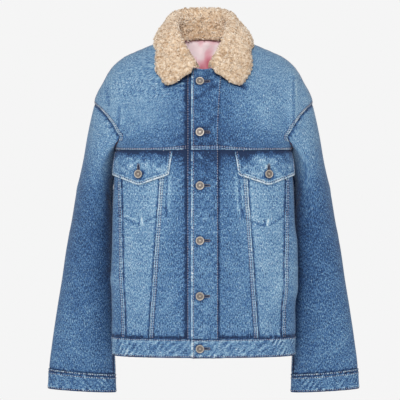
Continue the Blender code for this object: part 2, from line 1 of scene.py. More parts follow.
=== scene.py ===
"""Denim trucker jacket with a folded sherpa collar: the finished cloth, pile, thread and metal.

The jacket's forms are worked out in millimetres, as its solids are, with +Z up, the front towards -Y and
the wearer's left towards +X. "Angle" runs round the body in degrees from the centre front (0) over the
wearer's left side (90) to the centre back (180), and "level" is the height above the hem along the body.
"""

import math
from types import SimpleNamespace

import bpy
import numpy as np
from mathutils import Matrix, Vector, noise


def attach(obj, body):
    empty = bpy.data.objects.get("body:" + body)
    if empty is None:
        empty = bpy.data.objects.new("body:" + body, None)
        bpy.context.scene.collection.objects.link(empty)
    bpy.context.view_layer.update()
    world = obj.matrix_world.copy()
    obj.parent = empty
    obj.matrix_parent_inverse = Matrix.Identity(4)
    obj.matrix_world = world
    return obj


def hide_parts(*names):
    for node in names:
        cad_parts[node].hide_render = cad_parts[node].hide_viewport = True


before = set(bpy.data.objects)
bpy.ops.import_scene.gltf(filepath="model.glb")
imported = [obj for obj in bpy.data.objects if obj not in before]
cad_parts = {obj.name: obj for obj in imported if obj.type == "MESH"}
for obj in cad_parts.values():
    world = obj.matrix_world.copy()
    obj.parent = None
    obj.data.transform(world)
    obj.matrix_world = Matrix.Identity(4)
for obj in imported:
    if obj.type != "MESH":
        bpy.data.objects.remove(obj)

bl_info = {
    "name": "Sherpa Collar Denim Jacket",
    "version": (1, 0, 0),
    "blender": (4, 5, 0),
    "location": "3D View > Sidebar > Jacket",
    "description": "Cloth, pile, thread and buttons of a denim jacket with a sherpa collar",
    "category": "Object",
}

MM = 0.001
SIDES = (1, -1)  # the wearer's left and right


def table(names, *rows):
    """Rows of numbers as a dictionary of named columns."""
    return dict(zip(names.split(), np.array(rows, float).T))


# ---------------------------------------------------------------- sizes of the form, in millimetres

CLOTH = 2.0  # denim wall of the solids
BAND = 3.4
DENIM_WALL = 1.6  # the finished cloth: one layer, a flap, and a band or cuff folded double
FLAP_WALL = 1.7
FOLDED_WALL = 3.0
PILE = 10.5
LAYER_GAP = 0.3
HEM, BAND_TOP, CHEST_SEAM, BACK_YOKE_SEAM, SHOULDER_POINT, NECK = 0.0, 40.0, 423.0, 455.0, 490.0, 615.0
SIDE_SEAM_ANGLE = 112.0
BACK_SEAM_BAND = 152.0
BACK_SEAM_YOKE = 144.0
PLACKET_EDGE = -25.0
PLACKET_STITCH = 30.0
PLACKET_SLANT = 9.0
UNDERLAP_EDGE = -34.0
BUTTON_X = -7.5
BUTTON_LEVELS = (20.0, 126.0, 238.0, 349.0, 464.0, 584.0)
FLAP_BUTTON_X = 131.0
FLAP_BUTTON_LEVEL = 373.0
SLEEVE_END = 540.0
CUFF_END = 582.0
ARMHOLE_BLEND = 90.0
SLEEVE_FRONT_SEAM = 165.0  # turns of the sleeve's two seams, in degrees
SLEEVE_BACK_SEAM = 255.0
FRONT_TURN = 120.0  # turns of the armhole at the chest seam, the underarm and the back yoke seam
UNDERARM_TURN = 180.0
BACK_TURN = 285.0
FOLD_FADE = 20.0
STEP = 0.5
GIRTH_PER_DEGREE = 3.2  # roughly how far one degree reaches round the body, and round a sleeve
SLEEVE_PER_DEGREE = 1.25
WELD = 0.00002  # metres

BODY = table(
    "level side_x side_y side_z front_y front_z back_y back_z front_power back_power",
    (0, 189, -40, -656, -110, -656, 98, -656, 2.35, 2.2),
    (40, 190, -42, -616, -114, -616, 103, -616, 2.4, 2.25),
    (126, 190, -44, -530, -117, -530, 106, -530, 2.4, 2.25),
    (184, 190, -45, -472, -118, -472, 107, -472, 2.4, 2.3),
    (236, 189, -45, -420, -117, -420, 108, -420, 2.45, 2.3),
    (286, 188, -46, -370, -116, -370, 109, -370, 2.5, 2.3),
    (356, 185, -47, -300, -116, -300, 110, -300, 2.55, 2.35),
    (396, 183, -46, -260, -116, -261, 111, -260, 2.6, 2.4),
    (423, 181, -40, -233, -116, -236, 112, -233, 2.7, 2.6),
    (440, 188, -26, -218, -116, -221, 113, -220, 2.85, 2.9),
    (455, 202, -10, -204, -115, -207, 113, -204, 2.95, 3.1),
    (490, 228, 0, -135, -112, -177, 111, -165, 2.45, 2.6),
    (520, 209, 2, -88, -109, -152, 107, -125, 2.3, 2.4),
    (545, 190, 3, -57, -105, -129, 102, -87, 2.25, 2.3),
    (565, 168, 4, -38, -101, -112, 97, -56, 2.15, 2.2),
    (585, 141, 4, -25, -96, -95, 90, -28, 2.1, 2.1),
    (600, 111, 5, -12, -90, -83, 84, -8, 2.0, 2.0),
    (615, 80, 5, 0, -80, -70, 78, 9, 2.0, 2.0),
)

ARMHOLE = table(
    "turn angle level",
    (0, 90, 490),
    (20, 76, 490),
    (40, 62, 487),
    (60, 53, 478),
    (80, 50, 465),
    (96, 52, 450),
    (109, 66, 435),
    (120, 88, 423),
    (150, 102, 396),
    (180, 112, 385),
    (215, 122, 399),
    (250, 129, 428),
    (285, 127, 455),
    (325, 109, 480),
)

V_SEAMS = table(
    "chest_x band_x",
    (86, 112),
    (169, 158.5),
)

SLEEVE = table(
    "down outer_x outer_z inner_x inner_z centre_y half_depth power",
    (0, 229, -135, 173, -271, 5, 84, 2.0),
    (30, 236, -162, 184, -288, 11, 83, 2.0),
    (60, 244, -198, 190, -303, 17, 81, 2.0),
    (100, 253, -248, 191, -326, 23, 78, 2.0),
    (160, 268, -315, 190, -366, 28, 73, 2.0),
    (220, 279, -378, 190, -412, 32, 67, 2.0),
    (285, 291, -441, 190, -462, 33, 61, 2.0),
    (350, 300, -504, 190, -518, 31, 55, 2.0),
    (415, 310, -567, 189.5, -577, 27, 48, 2.0),
    (480, 319, -630, 188.5, -640, 23, 40, 2.0),
    (540, 326, -691, 186, -703, 18, 31, 2.0),
    (582, 327.5, -733, 185, -741, 14, 23, 2.0),
)

COLLAR = table(
    "angle rise fold_x fold_y fold_z edge_angle edge_level edge_lift",
    (180, 1.5, 0, 74, 68, 180, 589, 5),
    (150, 1.5, 37, 66, 66, 152, 592, 5),
    (120, 1.5, 61, 42, 54, 122, 603, 4),
    (90, 1.5, 67, 8, 32, 91, 609, 3.5),
    (62, 1.5, 60, -30, 6, 69, 602, 3.5),
    (38, 1.8, 49, -59, -20, 54, 597, 3.5),
    (20, 4.4, 36, -80, -43, 40, 582, 4),
    (9, 4.4, 27, -90, -57, 27, 564, 4.5),
)
FOLD_RADIUS = 4.5
FALL_BOW = 5.0
COLLAR_LEAN = 0.08
UNDER_COLLAR = 1.6

# How far each front edge of the collar bows out, by the share of the way from the seam to the tip.
FRONT_EDGE = table(
    "share out",
    (0, 0),
    (0.2, 3),
    (0.35, 11),
    (0.5, 15),
    (0.6, 16),
    (0.7, 18),
    (0.8, 18),
    (0.9, 15),
    (1, 4),
)

# Soft folds of the body, as lines seen from the front (1) or the back (-1).
FOLDS = table(
    "face from_x from_z to_x to_z width height",
    (1, 186, -80, 181, -215, 9, 3.0),
    (1, -180, -95, -176, -190, 12, 2.0),
    (1, 150, -110, 172, -200, 16, -2.0),
    (1, -148, -120, -168, -195, 16, -1.6),
    (1, 192, -425, 193, -515, 26, 5.0),
    (1, 120, -420, 165, -520, 20, 2.0),
    (1, -140, -440, -180, -500, 22, 2.4),
    (1, 60, -560, 120, -600, 16, 1.6),
    (1, -60, -590, -110, -560, 15, 1.5),
    (1, 175, -560, 140, -600, 16, -1.8),
    (1, -175, -575, -130, -600, 16, -1.8),
    (-1, 150, -110, 168, -230, 18, 3.0),
    (-1, -155, -105, -165, -235, 18, 2.6),
    (-1, 120, -300, 60, -420, 26, 2.6),
    (-1, -110, -330, -70, -430, 24, 2.2),
    (-1, -150, -470, -90, -590, 22, 2.4),
    (-1, 140, -500, 100, -600, 22, 2.6),
)

# Folds across a sleeve: the turn they lie at, how far down, their slant and size.
SLEEVE_FOLDS = table(
    "turn down slant length width height",
    (95, 70, 60, 60, 12, 2.2),
    (150, 120, 35, 50, 14, -2.6),
    (120, 255, -35, 55, 16, 2.2),
    (150, 320, -30, 50, 15, -2.2),
    (60, 470, 20, 45, 16, 1.6),
    (225, 110, 40, 55, 15, 3.0),
    (240, 190, 30, 50, 16, -2.6),
    (215, 290, 25, 55, 16, 3.0),
    (230, 360, -25, 50, 16, -2.4),
    (300, 470, 20, 55, 18, 2.0),
)

# ---------------------------------------------------------------- the jacket's form

def smooth(knots, values, at):
    """Values on a smooth curve through the knots, each with the slope between its two neighbours."""
    slopes = np.gradient(values, knots)
    at = np.clip(at, knots[0], knots[-1])
    i = np.clip(np.searchsorted(knots, at, side="right") - 1, 0, len(knots) - 2)
    span = knots[i + 1] - knots[i]
    t = (at - knots[i]) / span
    start = (1 + 2 * t) * (1 - t) ** 2 * values[i] + t * (1 - t) ** 2 * span * slopes[i]
    end = t * t * (3 - 2 * t) * values[i + 1] - t * t * (1 - t) * span * slopes[i + 1]
    return start + end


def row_at(columns, key, at):
    return {name: smooth(columns[key], columns[name], at) for name in columns}


def rows(columns):
    """The rows of a table, each with its values by name."""
    return [SimpleNamespace(**dict(zip(columns, values))) for values in zip(*columns.values())]


def unit(vectors):
    return vectors / np.linalg.norm(vectors, axis=-1, keepdims=True)


def signed(angle):
    """The same angle between -180 and 180 degrees."""
    return (angle + 180.0) % 360.0 - 180.0


def normals(form, across, along):
    """Directions square to a form, found from the points on either side."""
    side = form(across + STEP, along) - form(across - STEP, along)
    up = form(across, along + STEP) - form(across, along - STEP)
    return unit(np.cross(side, up))


def body_rings(angle, level):
    ring = row_at(BODY, "level", level)
    turn = np.radians(np.abs(signed(angle)))
    front = turn <= math.pi / 2
    far_y = np.where(front, ring["front_y"], ring["back_y"])
    far_z = np.where(front, ring["front_z"], ring["back_z"])
    power = np.where(front, ring["front_power"], ring["back_power"])
    sine, cosine = np.sin(turn), np.abs(np.cos(turn))
    radius = (sine**power + cosine**power) ** (-1 / power)
    depth = radius * cosine
    return np.stack(
        (
            np.sign(signed(angle)) * ring["side_x"] * radius * sine,
            ring["side_y"] + (far_y - ring["side_y"]) * depth,
            ring["side_z"] + (far_z - ring["side_z"]) * depth**2,
        ),
        axis=-1,
    )


def face_weights(angle):
    """How far each point belongs to the front (1) and to the back (-1), which blend at the side seam."""
    past_side = (np.abs(signed(angle)) - SIDE_SEAM_ANGLE) / FOLD_FADE
    return {1: np.clip(-past_side, 0, 1), -1: np.clip(past_side, 0, 1)}


def line_lift(lines, points, angle):
    """How far a table of folds lifts each point of the body, seen from the front or the back."""
    weight = face_weights(angle)
    seen = points[..., [0, 2]]
    total = np.zeros(seen.shape[:-1])
    for line in rows(lines):
        start = np.array((line.from_x, line.from_z))
        run = np.array((line.to_x, line.to_z)) - start
        share = np.clip(((seen - start) @ run) / (run @ run), 0, 1)
        away = np.linalg.norm(seen - start - share[..., None] * run, axis=-1)
        lift = line.height * np.exp(-((away / line.width) ** 2))
        total += weight[int(line.face)] * lift
    return total


def body(angle, level):
    """Points of the outside of the body's cloth."""
    angle, level = np.broadcast_arrays(np.asarray(angle, float), np.clip(level, HEM, NECK))
    points = body_rings(angle, level)
    lift = line_lift(FOLDS, points, angle)
    return points + normals(body_rings, angle, level) * lift[..., None]


def body_out(angle, level):
    return normals(body, np.asarray(angle, float), np.asarray(level, float))


def angle_at(level, x):
    """The angle of the front quarter at which a ring passes a given x."""
    ring = row_at(BODY, "level", np.asarray(level, float))
    share = (np.abs(x) / ring["side_x"]) ** ring["front_power"]
    return np.sign(x) * np.degrees(np.arctan((share / (1 - share)) ** (1 / ring["front_power"])))


def armhole(turn):
    """Angle and level of the body along the armhole seam."""
    laps = [ARMHOLE["turn"] + lap for lap in (-360, 0, 360)]
    knots = np.concatenate(laps)
    angle = smooth(knots, np.tile(ARMHOLE["angle"], 3), turn)
    level = smooth(knots, np.tile(ARMHOLE["level"], 3), turn)
    return np.stack((angle, level), axis=-1)


def sleeve_rings(turn, down):
    ring = row_at(SLEEVE, "down", down)
    around = np.radians(turn)
    power = ring["power"]
    reach = (np.abs(np.cos(around)) ** power + np.abs(np.sin(around)) ** power) ** (-1 / power)
    out, front = reach * np.cos(around), reach * np.sin(around)
    half_x = (ring["outer_x"] - ring["inner_x"]) / 2
    half_z = (ring["outer_z"] - ring["inner_z"]) / 2
    return np.stack(
        (
            ring["inner_x"] + half_x * (1 + out),
            ring["centre_y"] - ring["half_depth"] * front,
            ring["inner_z"] + half_z * (1 + out),
        ),
        axis=-1,
    )


def sleeve_form(turn, down):
    """The sleeve with its head drawn onto the armhole seam."""
    turn, down = np.broadcast_arrays(np.asarray(turn, float), np.asarray(down, float))
    seam = armhole(turn % 360)
    pull = body(seam[..., 0], seam[..., 1]) - sleeve_rings(turn, np.zeros_like(down))
    fade = np.clip(1 - down / ARMHOLE_BLEND, 0, 1) ** 2
    return sleeve_rings(turn, down) + pull * fade[..., None]


def ripple_lift(ripples, turn, down):
    """How far a table of folds across the sleeve lifts each of its points."""
    lift = np.zeros(np.broadcast(turn, down).shape)
    for ripple in rows(ripples):
        along = signed(turn - ripple.turn) / ripple.length
        away = (down - ripple.down - ripple.slant * along) / ripple.width
        lift = lift + ripple.height * np.exp(-(away**2) - (along * 2) ** 2)
    return lift


def sleeve(turn, down):
    """Points of the outside of the wearer's left sleeve."""
    turn, down = np.broadcast_arrays(np.asarray(turn, float), np.clip(down, 0, CUFF_END))
    lift = ripple_lift(SLEEVE_FOLDS, turn, down)
    return sleeve_form(turn, down) + normals(sleeve_form, turn, down) * lift[..., None]


def sleeve_out(turn, down):
    return normals(sleeve, np.asarray(turn, float), np.asarray(down, float))


# ---------------------------------------------------------------- outlines of the pieces

def straight(start, end):
    start, end = np.array(start, float), np.array(end, float)
    return lambda t: start + (end - start) * np.asarray(t, float)[:, None]


def chain(*runs):
    """Lines joined end to end: each is a line and its share of the whole."""
    ends = np.cumsum([0.0] + [weight for _, weight in runs])
    ends /= ends[-1]

    def joined(t):
        t = np.asarray(t, float)
        out = np.zeros((len(t), 2))
        for i, (run, _) in enumerate(runs):
            here = (t >= ends[i]) & (t <= ends[i + 1])
            out[here] = run((t[here] - ends[i]) / (ends[i + 1] - ends[i]))
        return out

    return joined


def mirrored(run, side):
    return lambda t: run(t) * np.array((side, 1))


def at_x(low_x, high_x, low=BAND_TOP, high=CHEST_SEAM):
    """A seam of the front that runs straight between two widths, as (angle, level)."""
    def run(t):
        t = np.asarray(t, float)
        level = low + (high - low) * t
        return np.stack((angle_at(level, low_x + (high_x - low_x) * t), level), axis=-1)

    return run


def placket_seam(level):
    return PLACKET_STITCH + PLACKET_SLANT * np.clip((level - CHEST_SEAM) / (NECK - CHEST_SEAM), 0, 1) ** 2


def placket_line(low, high):
    """The placket's stitched side, between two levels."""
    def run(t):
        level = low + (high - low) * np.asarray(t, float)
        return np.stack((angle_at(level, placket_seam(level)), level), axis=-1)

    return run


def armhole_run(first, last):
    return lambda t: armhole(first + (last - first) * np.asarray(t, float))


def outline(start, end, low=None, high=None):
    """The four borders of a piece. The low and high ones run straight between the others, if not given."""
    (start_low, start_high), (end_low, end_high) = start([0.0, 1.0]), end([0.0, 1.0])
    low = low or straight(start_low, end_low)
    high = high or straight(start_high, end_high)
    return dict(low=low, high=high, start=start, end=end)


def patch(low, high, start, end, u, v):
    """A grid of (angle, level) stretched between the four lines round a piece."""
    over, up = u[None, :, None], v[:, None, None]
    bottom, top, left, right = low(u)[None], high(u)[None], start(v)[:, None], end(v)[:, None]
    corners = (1 - up) * ((1 - over) * bottom[:, :1] + over * bottom[:, -1:])
    corners = corners + up * ((1 - over) * top[:, :1] + over * top[:, -1:])
    return (1 - up) * bottom + up * top + (1 - over) * left + over * right - corners


def shares(length, spacing, near=1.0, band=11.0):
    """Where a panel is sampled: close together by its two seams, and wider apart between them."""
    band = min(band, length / 2)
    edge = np.linspace(0, band, max(2, round(band / near)) + 1)
    middle = np.linspace(band, length - band, max(1, math.ceil((length - 2 * band) / spacing)) + 1)
    return np.unique(np.round(np.concatenate((edge, middle, length - edge)) / length, 7))


def run_length(points):
    return float(np.linalg.norm(np.diff(points, axis=0), axis=-1).sum())


# ---------------------------------------------------------------- seams, creases and wear

def seam(*profile, stitches=(), pucker=0.4, pitch=9.5, slant=0.3, reach=6.0):
    """A kind of seam.

    Its profile holds, by the distance from its edge, the cloth's height and how pale (+) or deep (-) its blue
    is: pale on its worn crowns, with painted highlight on its ridges, and deep in its grooves and under
    lapped edges, which is painted shade. Then come its rows of stitches, and its puckers' height, pitch,
    slant and reach.
    """
    return profile, stitches, pucker, pitch, slant, reach


SEAMS = {
    "none": seam((0, 0, 0), (1, 0, 0)),
    "felled": seam(
        (0, -0.6, -0.60), (1.2, 0.0, -0.40), (1.8, 1.0, 0.46), (3.2, 1.0, 0.42), (3.9, 0.4, -0.04),
        (5.9, 0.4, -0.04), (6.6, 0.9, 0.26), (8.4, 0.8, 0.20), (9.4, 0.1, -0.30), (10.4, 0, -0.18),
        (12, 0, 0), stitches=(4.9, 8.6),
    ),
    # The deep blue of tucked, sunken and shaded lies where the cloth runs under an edge that laps over it,
    # and is painted shadow.
    "tucked": seam((0, -0.8, -0.46), (1.6, -0.6, -0.30), (3.4, -0.2, -0.06), (7, 0, 0)),
    "sunken": seam(
        (0, -0.8, -0.60), (3.0, -0.8, -0.52), (6, -0.3, -0.24), (14, 0, 0), pucker=0.5, pitch=10.5, reach=8.0
    ),
    "shaded": seam(
        (0, -0.8, -0.60), (3.4, -0.7, -0.50), (5.4, -0.2, -0.14), (11, 0, 0),
        pucker=0.9, pitch=11.0, slant=0.4, reach=9.0,
    ),
    "single": seam(
        (0, -0.5, -0.46), (2.0, 0.2, -0.34), (3.4, 0.5, 0.08), (6, 0.1, -0.06), (9, 0, 0),
        stitches=(2.2,), pucker=0.5, pitch=9.0, slant=0.2,
    ),
    "soft": seam(
        (0, -0.3, -0.10), (1.6, 0.2, -0.04), (2.4, 0.6, 0.20), (4.4, 0.3, 0.10), (7, 0, -0.06), (10, 0, 0),
        stitches=(2.8,), pucker=0.5, pitch=9.0, slant=0.2,
    ),
    "edge": seam(
        (0, 0.1, 0.50), (2.6, 0.5, 0.44), (3.8, 0.1, -0.06), (7, 0, 0),
        stitches=(4.6,), pitch=8.5, slant=0.2, reach=5.0,
    ),
    "flap_edge": seam(
        (0, 0.2, 0.62), (2.2, 0.7, 0.56), (3.0, 0.4, 0.0), (5.2, 0.4, 0.0), (5.9, 0.8, 0.26),
        (7.6, 0.7, 0.16), (8.8, 0.1, -0.24), (10.2, 0.1, -0.10), (12, 0, 0),
        stitches=(4.1,), pitch=8.0, slant=0.2,
    ),
    "roped": seam(
        (0, -0.4, -0.70), (1.8, 0.0, -0.62), (2.6, 0.6, 0.22), (4.2, 0.4, -0.10), (6.0, 0.6, 0.16),
        (9, 0.2, 0), (14, 0, 0), stitches=(3.6,), pucker=0.6, pitch=13.7, slant=0.6, reach=9.0,
    ),
    "gathered": seam(
        (0, 0, 0.10), (1.0, 0.5, 0.42), (2.2, 0.5, 0.28), (3.4, -0.4, -0.34), (5.8, -0.5, -0.42),
        (7.2, 0.2, 0.0), (8.4, 0.7, 0.36), (9.8, 0.4, 0.08), (13, 0, 0),
        stitches=(1.7, 8.4), pucker=0.9, pitch=11.5, slant=0.0, reach=5.0,
    ),
}

# Fine creases of the body, as lines seen from the front (1) or the back (-1).
CREASES = table(
    "face from_x from_z to_x to_z width height",
    (1, 112, -150, 150, -215, 6, 0.9),
    (1, -100, -160, -150, -205, 7, 0.8),
    (1, 60, -200, 110, -222, 7, 0.7),
    (1, -60, -205, -110, -222, 7, 0.6),
    (1, 120, -330, 150, -400, 8, 0.9),
    (1, -120, -345, -150, -420, 8, 0.9),
    (1, 110, -470, 150, -450, 7, 0.9),
    (1, 150, -520, 185, -480, 9, 1.4),
    (1, 165, -560, 188, -540, 7, -1.0),
    (1, -150, -520, -186, -500, 8, 1.2),
    (1, -40, -500, -85, -560, 9, 0.9),
    (1, 45, -450, 85, -520, 9, 0.8),
    (1, 70, -600, 130, -585, 6, 1.0),
    (1, -120, -600, -165, -580, 6, 1.0),
    (1, 0, -360, 20, -372, 5, 0.7),
    (1, -5, -250, 18, -262, 5, 0.7),
    (1, 0, -470, 22, -480, 5, 0.7),
    (-1, 60, -120, 140, -180, 12, 1.2),
    (-1, -50, -110, -140, -190, 12, 1.2),
    (-1, 0, -260, 60, -330, 14, 1.2),
    (-1, 30, -450, -60, -520, 14, 1.2),
    (-1, 60, -560, 130, -600, 10, 1.4),
    (-1, -60, -590, -140, -550, 10, 1.4),
    (-1, -150, -260, -110, -330, 10, 1.2),
    (-1, 160, -300, 120, -360, 10, 1.4),
)

# Fine creases across the sleeves.
SLEEVE_CREASES = table(
    "turn down slant length width height",
    (60, 60, 60, 50, 7, 1.0),
    (80, 110, 55, 60, 8, 1.0),
    (110, 170, 40, 50, 9, 1.2),
    (70, 230, -40, 60, 9, 1.0),
    (95, 300, -30, 60, 9, 1.2),
    (75, 360, 25, 50, 8, 1.0),
    (110, 405, -20, 50, 8, 1.2),
    (60, 430, 20, 50, 9, 1.0),
    (85, 500, 12, 50, 7, 1.2),
    (120, 515, -10, 40, 7, 1.0),
    (30, 520, 10, 40, 7, 1.0),
    (20, 160, 30, 50, 10, 1.0),
    (340, 260, -20, 50, 11, 1.2),
    (320, 380, 20, 50, 10, 1.2),
    (250, 480, 14, 50, 9, 1.4),
    (280, 150, -30, 50, 12, 1.4),
    (270, 330, 20, 60, 12, 1.4),
)

# Paler (+) and deeper (-) places of the body's wash, seen from the front (1) or the back (-1).
FADES = table(
    "face x z radius_x radius_z amount",
    (1, 5, -160, 78, 120, -0.33),
    (1, 110, -236, 110, 46, -0.30),
    (1, -110, -236, 110, 46, -0.28),
    (1, 92, -330, 20, 80, 0.16),
    (1, -90, -320, 20, 80, 0.16),
    (1, 56, -275, 24, 45, 0.14),
    (1, -62, -275, 24, 45, 0.18),
    (1, 40, -440, 22, 160, -0.05),
    (1, -42, -440, 20, 160, -0.07),
    (1, 130, -620, 60, 60, -0.05),
    (1, -130, -620, 60, 60, -0.05),
    (1, 0, -635, 190, 22, 0.04),
    (-1, 0, -120, 120, 60, 0.10),
    (-1, 0, -430, 90, 120, 0.06),
    (-1, 120, -560, 60, 60, 0.06),
    (-1, -120, -560, 60, 60, 0.06),
)

# Pale (+) and deep (-) blotches where the flaps are rubbed.
FLAP_FADES = table(
    "face x z radius_x radius_z amount",
    (1, 128, -262, 36, 15, 0.28),
    (1, 82, -246, 16, 20, -0.30),
    (1, 108, -246, 14, 8, 0.24),
    (1, 160, -256, 12, 9, -0.14),
    (1, 118, -282, 22, 8, 0.12),
    (1, -128, -262, 34, 13, 0.22),
    (1, -84, -248, 14, 14, -0.22),
    (1, -150, -268, 14, 9, 0.14),
    (1, -112, -250, 10, 7, -0.16),
)

# Narrow worn (+) and deep (-) marks: pocket bags pressed through from inside, and sharp creases, drawn as
# painted shade in them and painted highlight beside them. The two deep lines along the collar's front edges
# are a painted shadow of the collar.
MARKS_WEAR_AND_SHADE = table(
    "face from_x from_z to_x to_z width height",
    (1, 65, -284, 69, -352, 2.3, 0.28),
    (1, 72, -290, 74, -345, 2.8, -0.18),
    (1, 78, -300, 80, -345, 2.4, 0.14),
    (1, 77, -354, 80, -368, 3.2, -0.34),
    (1, 70, -352, 74, -362, 2.2, 0.30),
    (1, 84, -372, 122, -389, 2.2, -0.34),
    (1, 84, -368, 122, -384, 2.2, 0.20),
    (1, 130, -377, 130, -388, 2.8, 0.46),
    (1, 125, -376, 124.5, -388, 2.2, -0.42),
    (1, 134, -387, 162, -371, 2.2, -0.32),
    (1, 168, -354, 171, -366, 3.4, -0.36),
    (1, 172, -300, 171, -350, 2.4, -0.18),
    (1, -68, -288, -71, -350, 2.4, 0.22),
    (1, -74, -290, -76, -345, 2.6, -0.18),
    (1, -80, -296, -79, -345, 2.4, 0.14),
    (1, -76, -350, -75, -364, 3.2, -0.36),
    (1, -71, -352, -70, -362, 2.2, 0.26),
    (1, -84, -366, -120, -380, 2.2, -0.32),
    (1, -126, -374, -124, -384, 3.0, 0.46),
    (1, -130, -374, -131, -386, 2.2, -0.34),
    (1, -134, -385, -162, -372, 2.2, -0.36),
    (1, -134, -380, -162, -367, 2.2, 0.20),
    (1, -169, -352, -171, -368, 3.2, -0.34),
    (1, 11, -366, 29, -366, 1.6, -0.36),
    # Diagonal creases of the placket: painted shade in them, with a painted highlight beside.
    (1, -23, -134, 23, -104, 5.0, -0.20),
    (1, -20, -126, 16, -102, 4.0, 0.08),
    (1, 4, -80, 17, -104, 7.0, -0.18),
    (1, 19, -189, 25, -219, 1.8, 0.30),
    (1, -14, -240, -3, -253, 1.7, 0.34),
    (1, 43, -220, 60, -231, 2.4, 0.28),
    (1, -20, -231, 10, -231, 2.6, 0.14),
    # Folds by the armholes: painted shade in them, with a painted highlight on the edge that stands proud.
    (1, 186, -85, 184, -210, 3.0, -0.26),
    (1, 190, -90, 188, -215, 2.2, 0.18),
    (1, -172, -148, -174, -186, 3.2, -0.26),
    (1, -199, -105, -195, -140, 3.2, -0.22),
    (1, -166, -150, -168, -180, 3.0, 0.10),
    # A painted shadow under each front edge of the collar.
    (1, -78, -105, -24, -80, 4.5, -0.50),
    (1, 24, -78, 84, -108, 4.5, -0.50),
    (1, 60, -622, 130, -612, 3.0, 0.20),
    (1, 90, -608, 120, -616, 3.0, -0.14),
    (1, -170, -634, -140, -622, 2.6, 0.18),
    (1, -120, -634, -95, -622, 2.6, 0.16),
    (1, 110, -640, 165, -622, 2.6, 0.18),
)
# A mark's relief follows its tone, painted shade as well as wear.
MARK_DEPTH = 1.8  # millimetres of relief for each unit of wear

# Paler (+) and deeper (-) places of the sleeves, paler at their heads. The deep band at turn 140 lies in a
# fold by the armhole, and is painted shade.
SLEEVE_FADES_AND_SHADE = table(
    "turn down radius_turn radius_down amount",
    (60, 0, 120, 90, 0.25),
    (60, 60, 120, 80, 0.04),
    (140, 130, 12, 90, -0.12),
    (118, 110, 10, 80, 0.06),
    (80, 230, 80, 120, -0.09),
    (60, 250, 40, 140, 0.02),
    (150, 300, 40, 260, -0.06),
    (60, 480, 90, 90, 0.06),
    (240, 60, 60, 60, 0.06),
    (330, 300, 60, 120, 0.05),
)


def rise(at, low, high):
    """A soft step from 0 to 1."""
    t = np.clip((at - low) / (high - low), 0, 1)
    return t * t * (3 - 2 * t)


def uneven(at, seed):
    """A wandering value between about -1 and 1, the same wherever two pieces meet."""
    return (np.sin(at / 17.0 + seed) + np.sin(at / 7.3 + 2.1 * seed) + np.sin(at / 31.0 - seed)) / 2.2


def lumps(points, size, seed):
    """Soft round lumps of about this size, one value for each point."""
    flat = points.reshape(-1, 3) / size + seed
    values = np.array([noise.noise(Vector(p)) for p in flat])
    return values.reshape(points.shape[:-1])


def seam_relief(kind, away, along, seed, lean=1):
    """Height and tone of the cloth beside a seam, with the puckers drawn up by its thread. Its tone is worn
    paleness with painted light and shade, which follow its ridges and puckers.
    """
    profile, _, pucker, pitch, slant, reach = SEAMS[kind]
    at, heights, wears_and_shades = np.array(profile, float).T
    wavy = away + 0.6 * uneven(2.3 * along, seed + 5.0) * np.clip(away / 2, 0, 1)
    height, wear_and_shade = np.interp(wavy, at, heights), np.interp(wavy, at, wears_and_shades)
    if kind == "none":
        return height, wear_and_shade
    wave = np.sin(2 * math.pi * (along + lean * slant * away) / pitch + 3.2 * uneven(along, seed))
    strength = (0.55 + 0.55 * uneven(along, seed + 3.0)) * np.exp(-np.maximum(away - 3.0, 0) / reach)
    ripple = wave * strength
    patchy = 0.9 + 0.3 * uneven(1.7 * along, seed + 8.0)
    return height + pucker * ripple, wear_and_shade * (patchy + 0.3 * ripple) + 0.36 * pucker * ripple


def streaks(along, up, seed):
    """Slanting ripples of a hem that has twisted as it shrank, stronger in some places."""
    strength = 0.5 + 0.6 * uneven(1.9 * along + 3.0 * up, seed + 2.0)
    return strength * np.sin(2 * math.pi * (along - 0.9 * up) / 14.5 + 2.6 * uneven(along, seed))


def fades_at(spots, points, angle):
    """How pale a table of spots makes each point of the body."""
    weight = face_weights(angle)
    total = np.zeros(angle.shape)
    for spot in rows(spots):
        x = (points[..., 0] - spot.x) / spot.radius_x
        z = (points[..., 2] - spot.z) / spot.radius_z
        total += weight[int(spot.face)] * spot.amount * np.exp(-(x**2) - z**2)
    return total


def button_spots():
    """Each button's x and z, and which way its buttonhole runs from it."""
    spots = [(BUTTON_X, level, (1, 0)) for level in BUTTON_LEVELS]
    spots += [(side * FLAP_BUTTON_X, FLAP_BUTTON_LEVEL, (0, 1)) for side in SIDES]
    return [(body(float(angle_at(level, x)), level)[[0, 2]], np.array(way)) for x, level, way in spots]


def painted_button_shade(points, angle):
    """Painted shade: deeper blue in a ring round each button, where it shades the cloth, and along its
    buttonhole.
    """
    total = np.zeros(angle.shape)
    for spot, way in button_spots():
        seen = points[..., [0, 2]] - spot
        total -= 0.40 * np.exp(-(((np.linalg.norm(seen, axis=-1) - 8.6) / 2.6) ** 2))
        along = np.clip(seen @ way, 9, 19)
        total -= 0.26 * np.exp(-((np.linalg.norm(seen - along[..., None] * way, axis=-1) / 2.8) ** 2))
    return np.where(np.abs(signed(angle)) < 90, total, 0.0)


# The wash of the body, with the painted shade of its creases, under the collar and round the buttons.
def washed_and_shaded(points, angle):
    return fades_at(FADES, points, angle) + line_lift(MARKS_WEAR_AND_SHADE, points, angle) + painted_button_shade(points, angle)


def distances(points):
    """How far each point lies from the grid's start, end, low and high borders, along the cloth."""
    across = np.linalg.norm(np.diff(points, axis=1), axis=-1)
    along = np.linalg.norm(np.diff(points, axis=0), axis=-1)
    start = np.pad(np.cumsum(across, axis=1), ((0, 0), (1, 0)))
    low = np.pad(np.cumsum(along, axis=0), ((1, 0), (0, 0)))
    return {"start": start, "end": start[:, -1:] - start, "low": low, "high": low[-1:] - low}


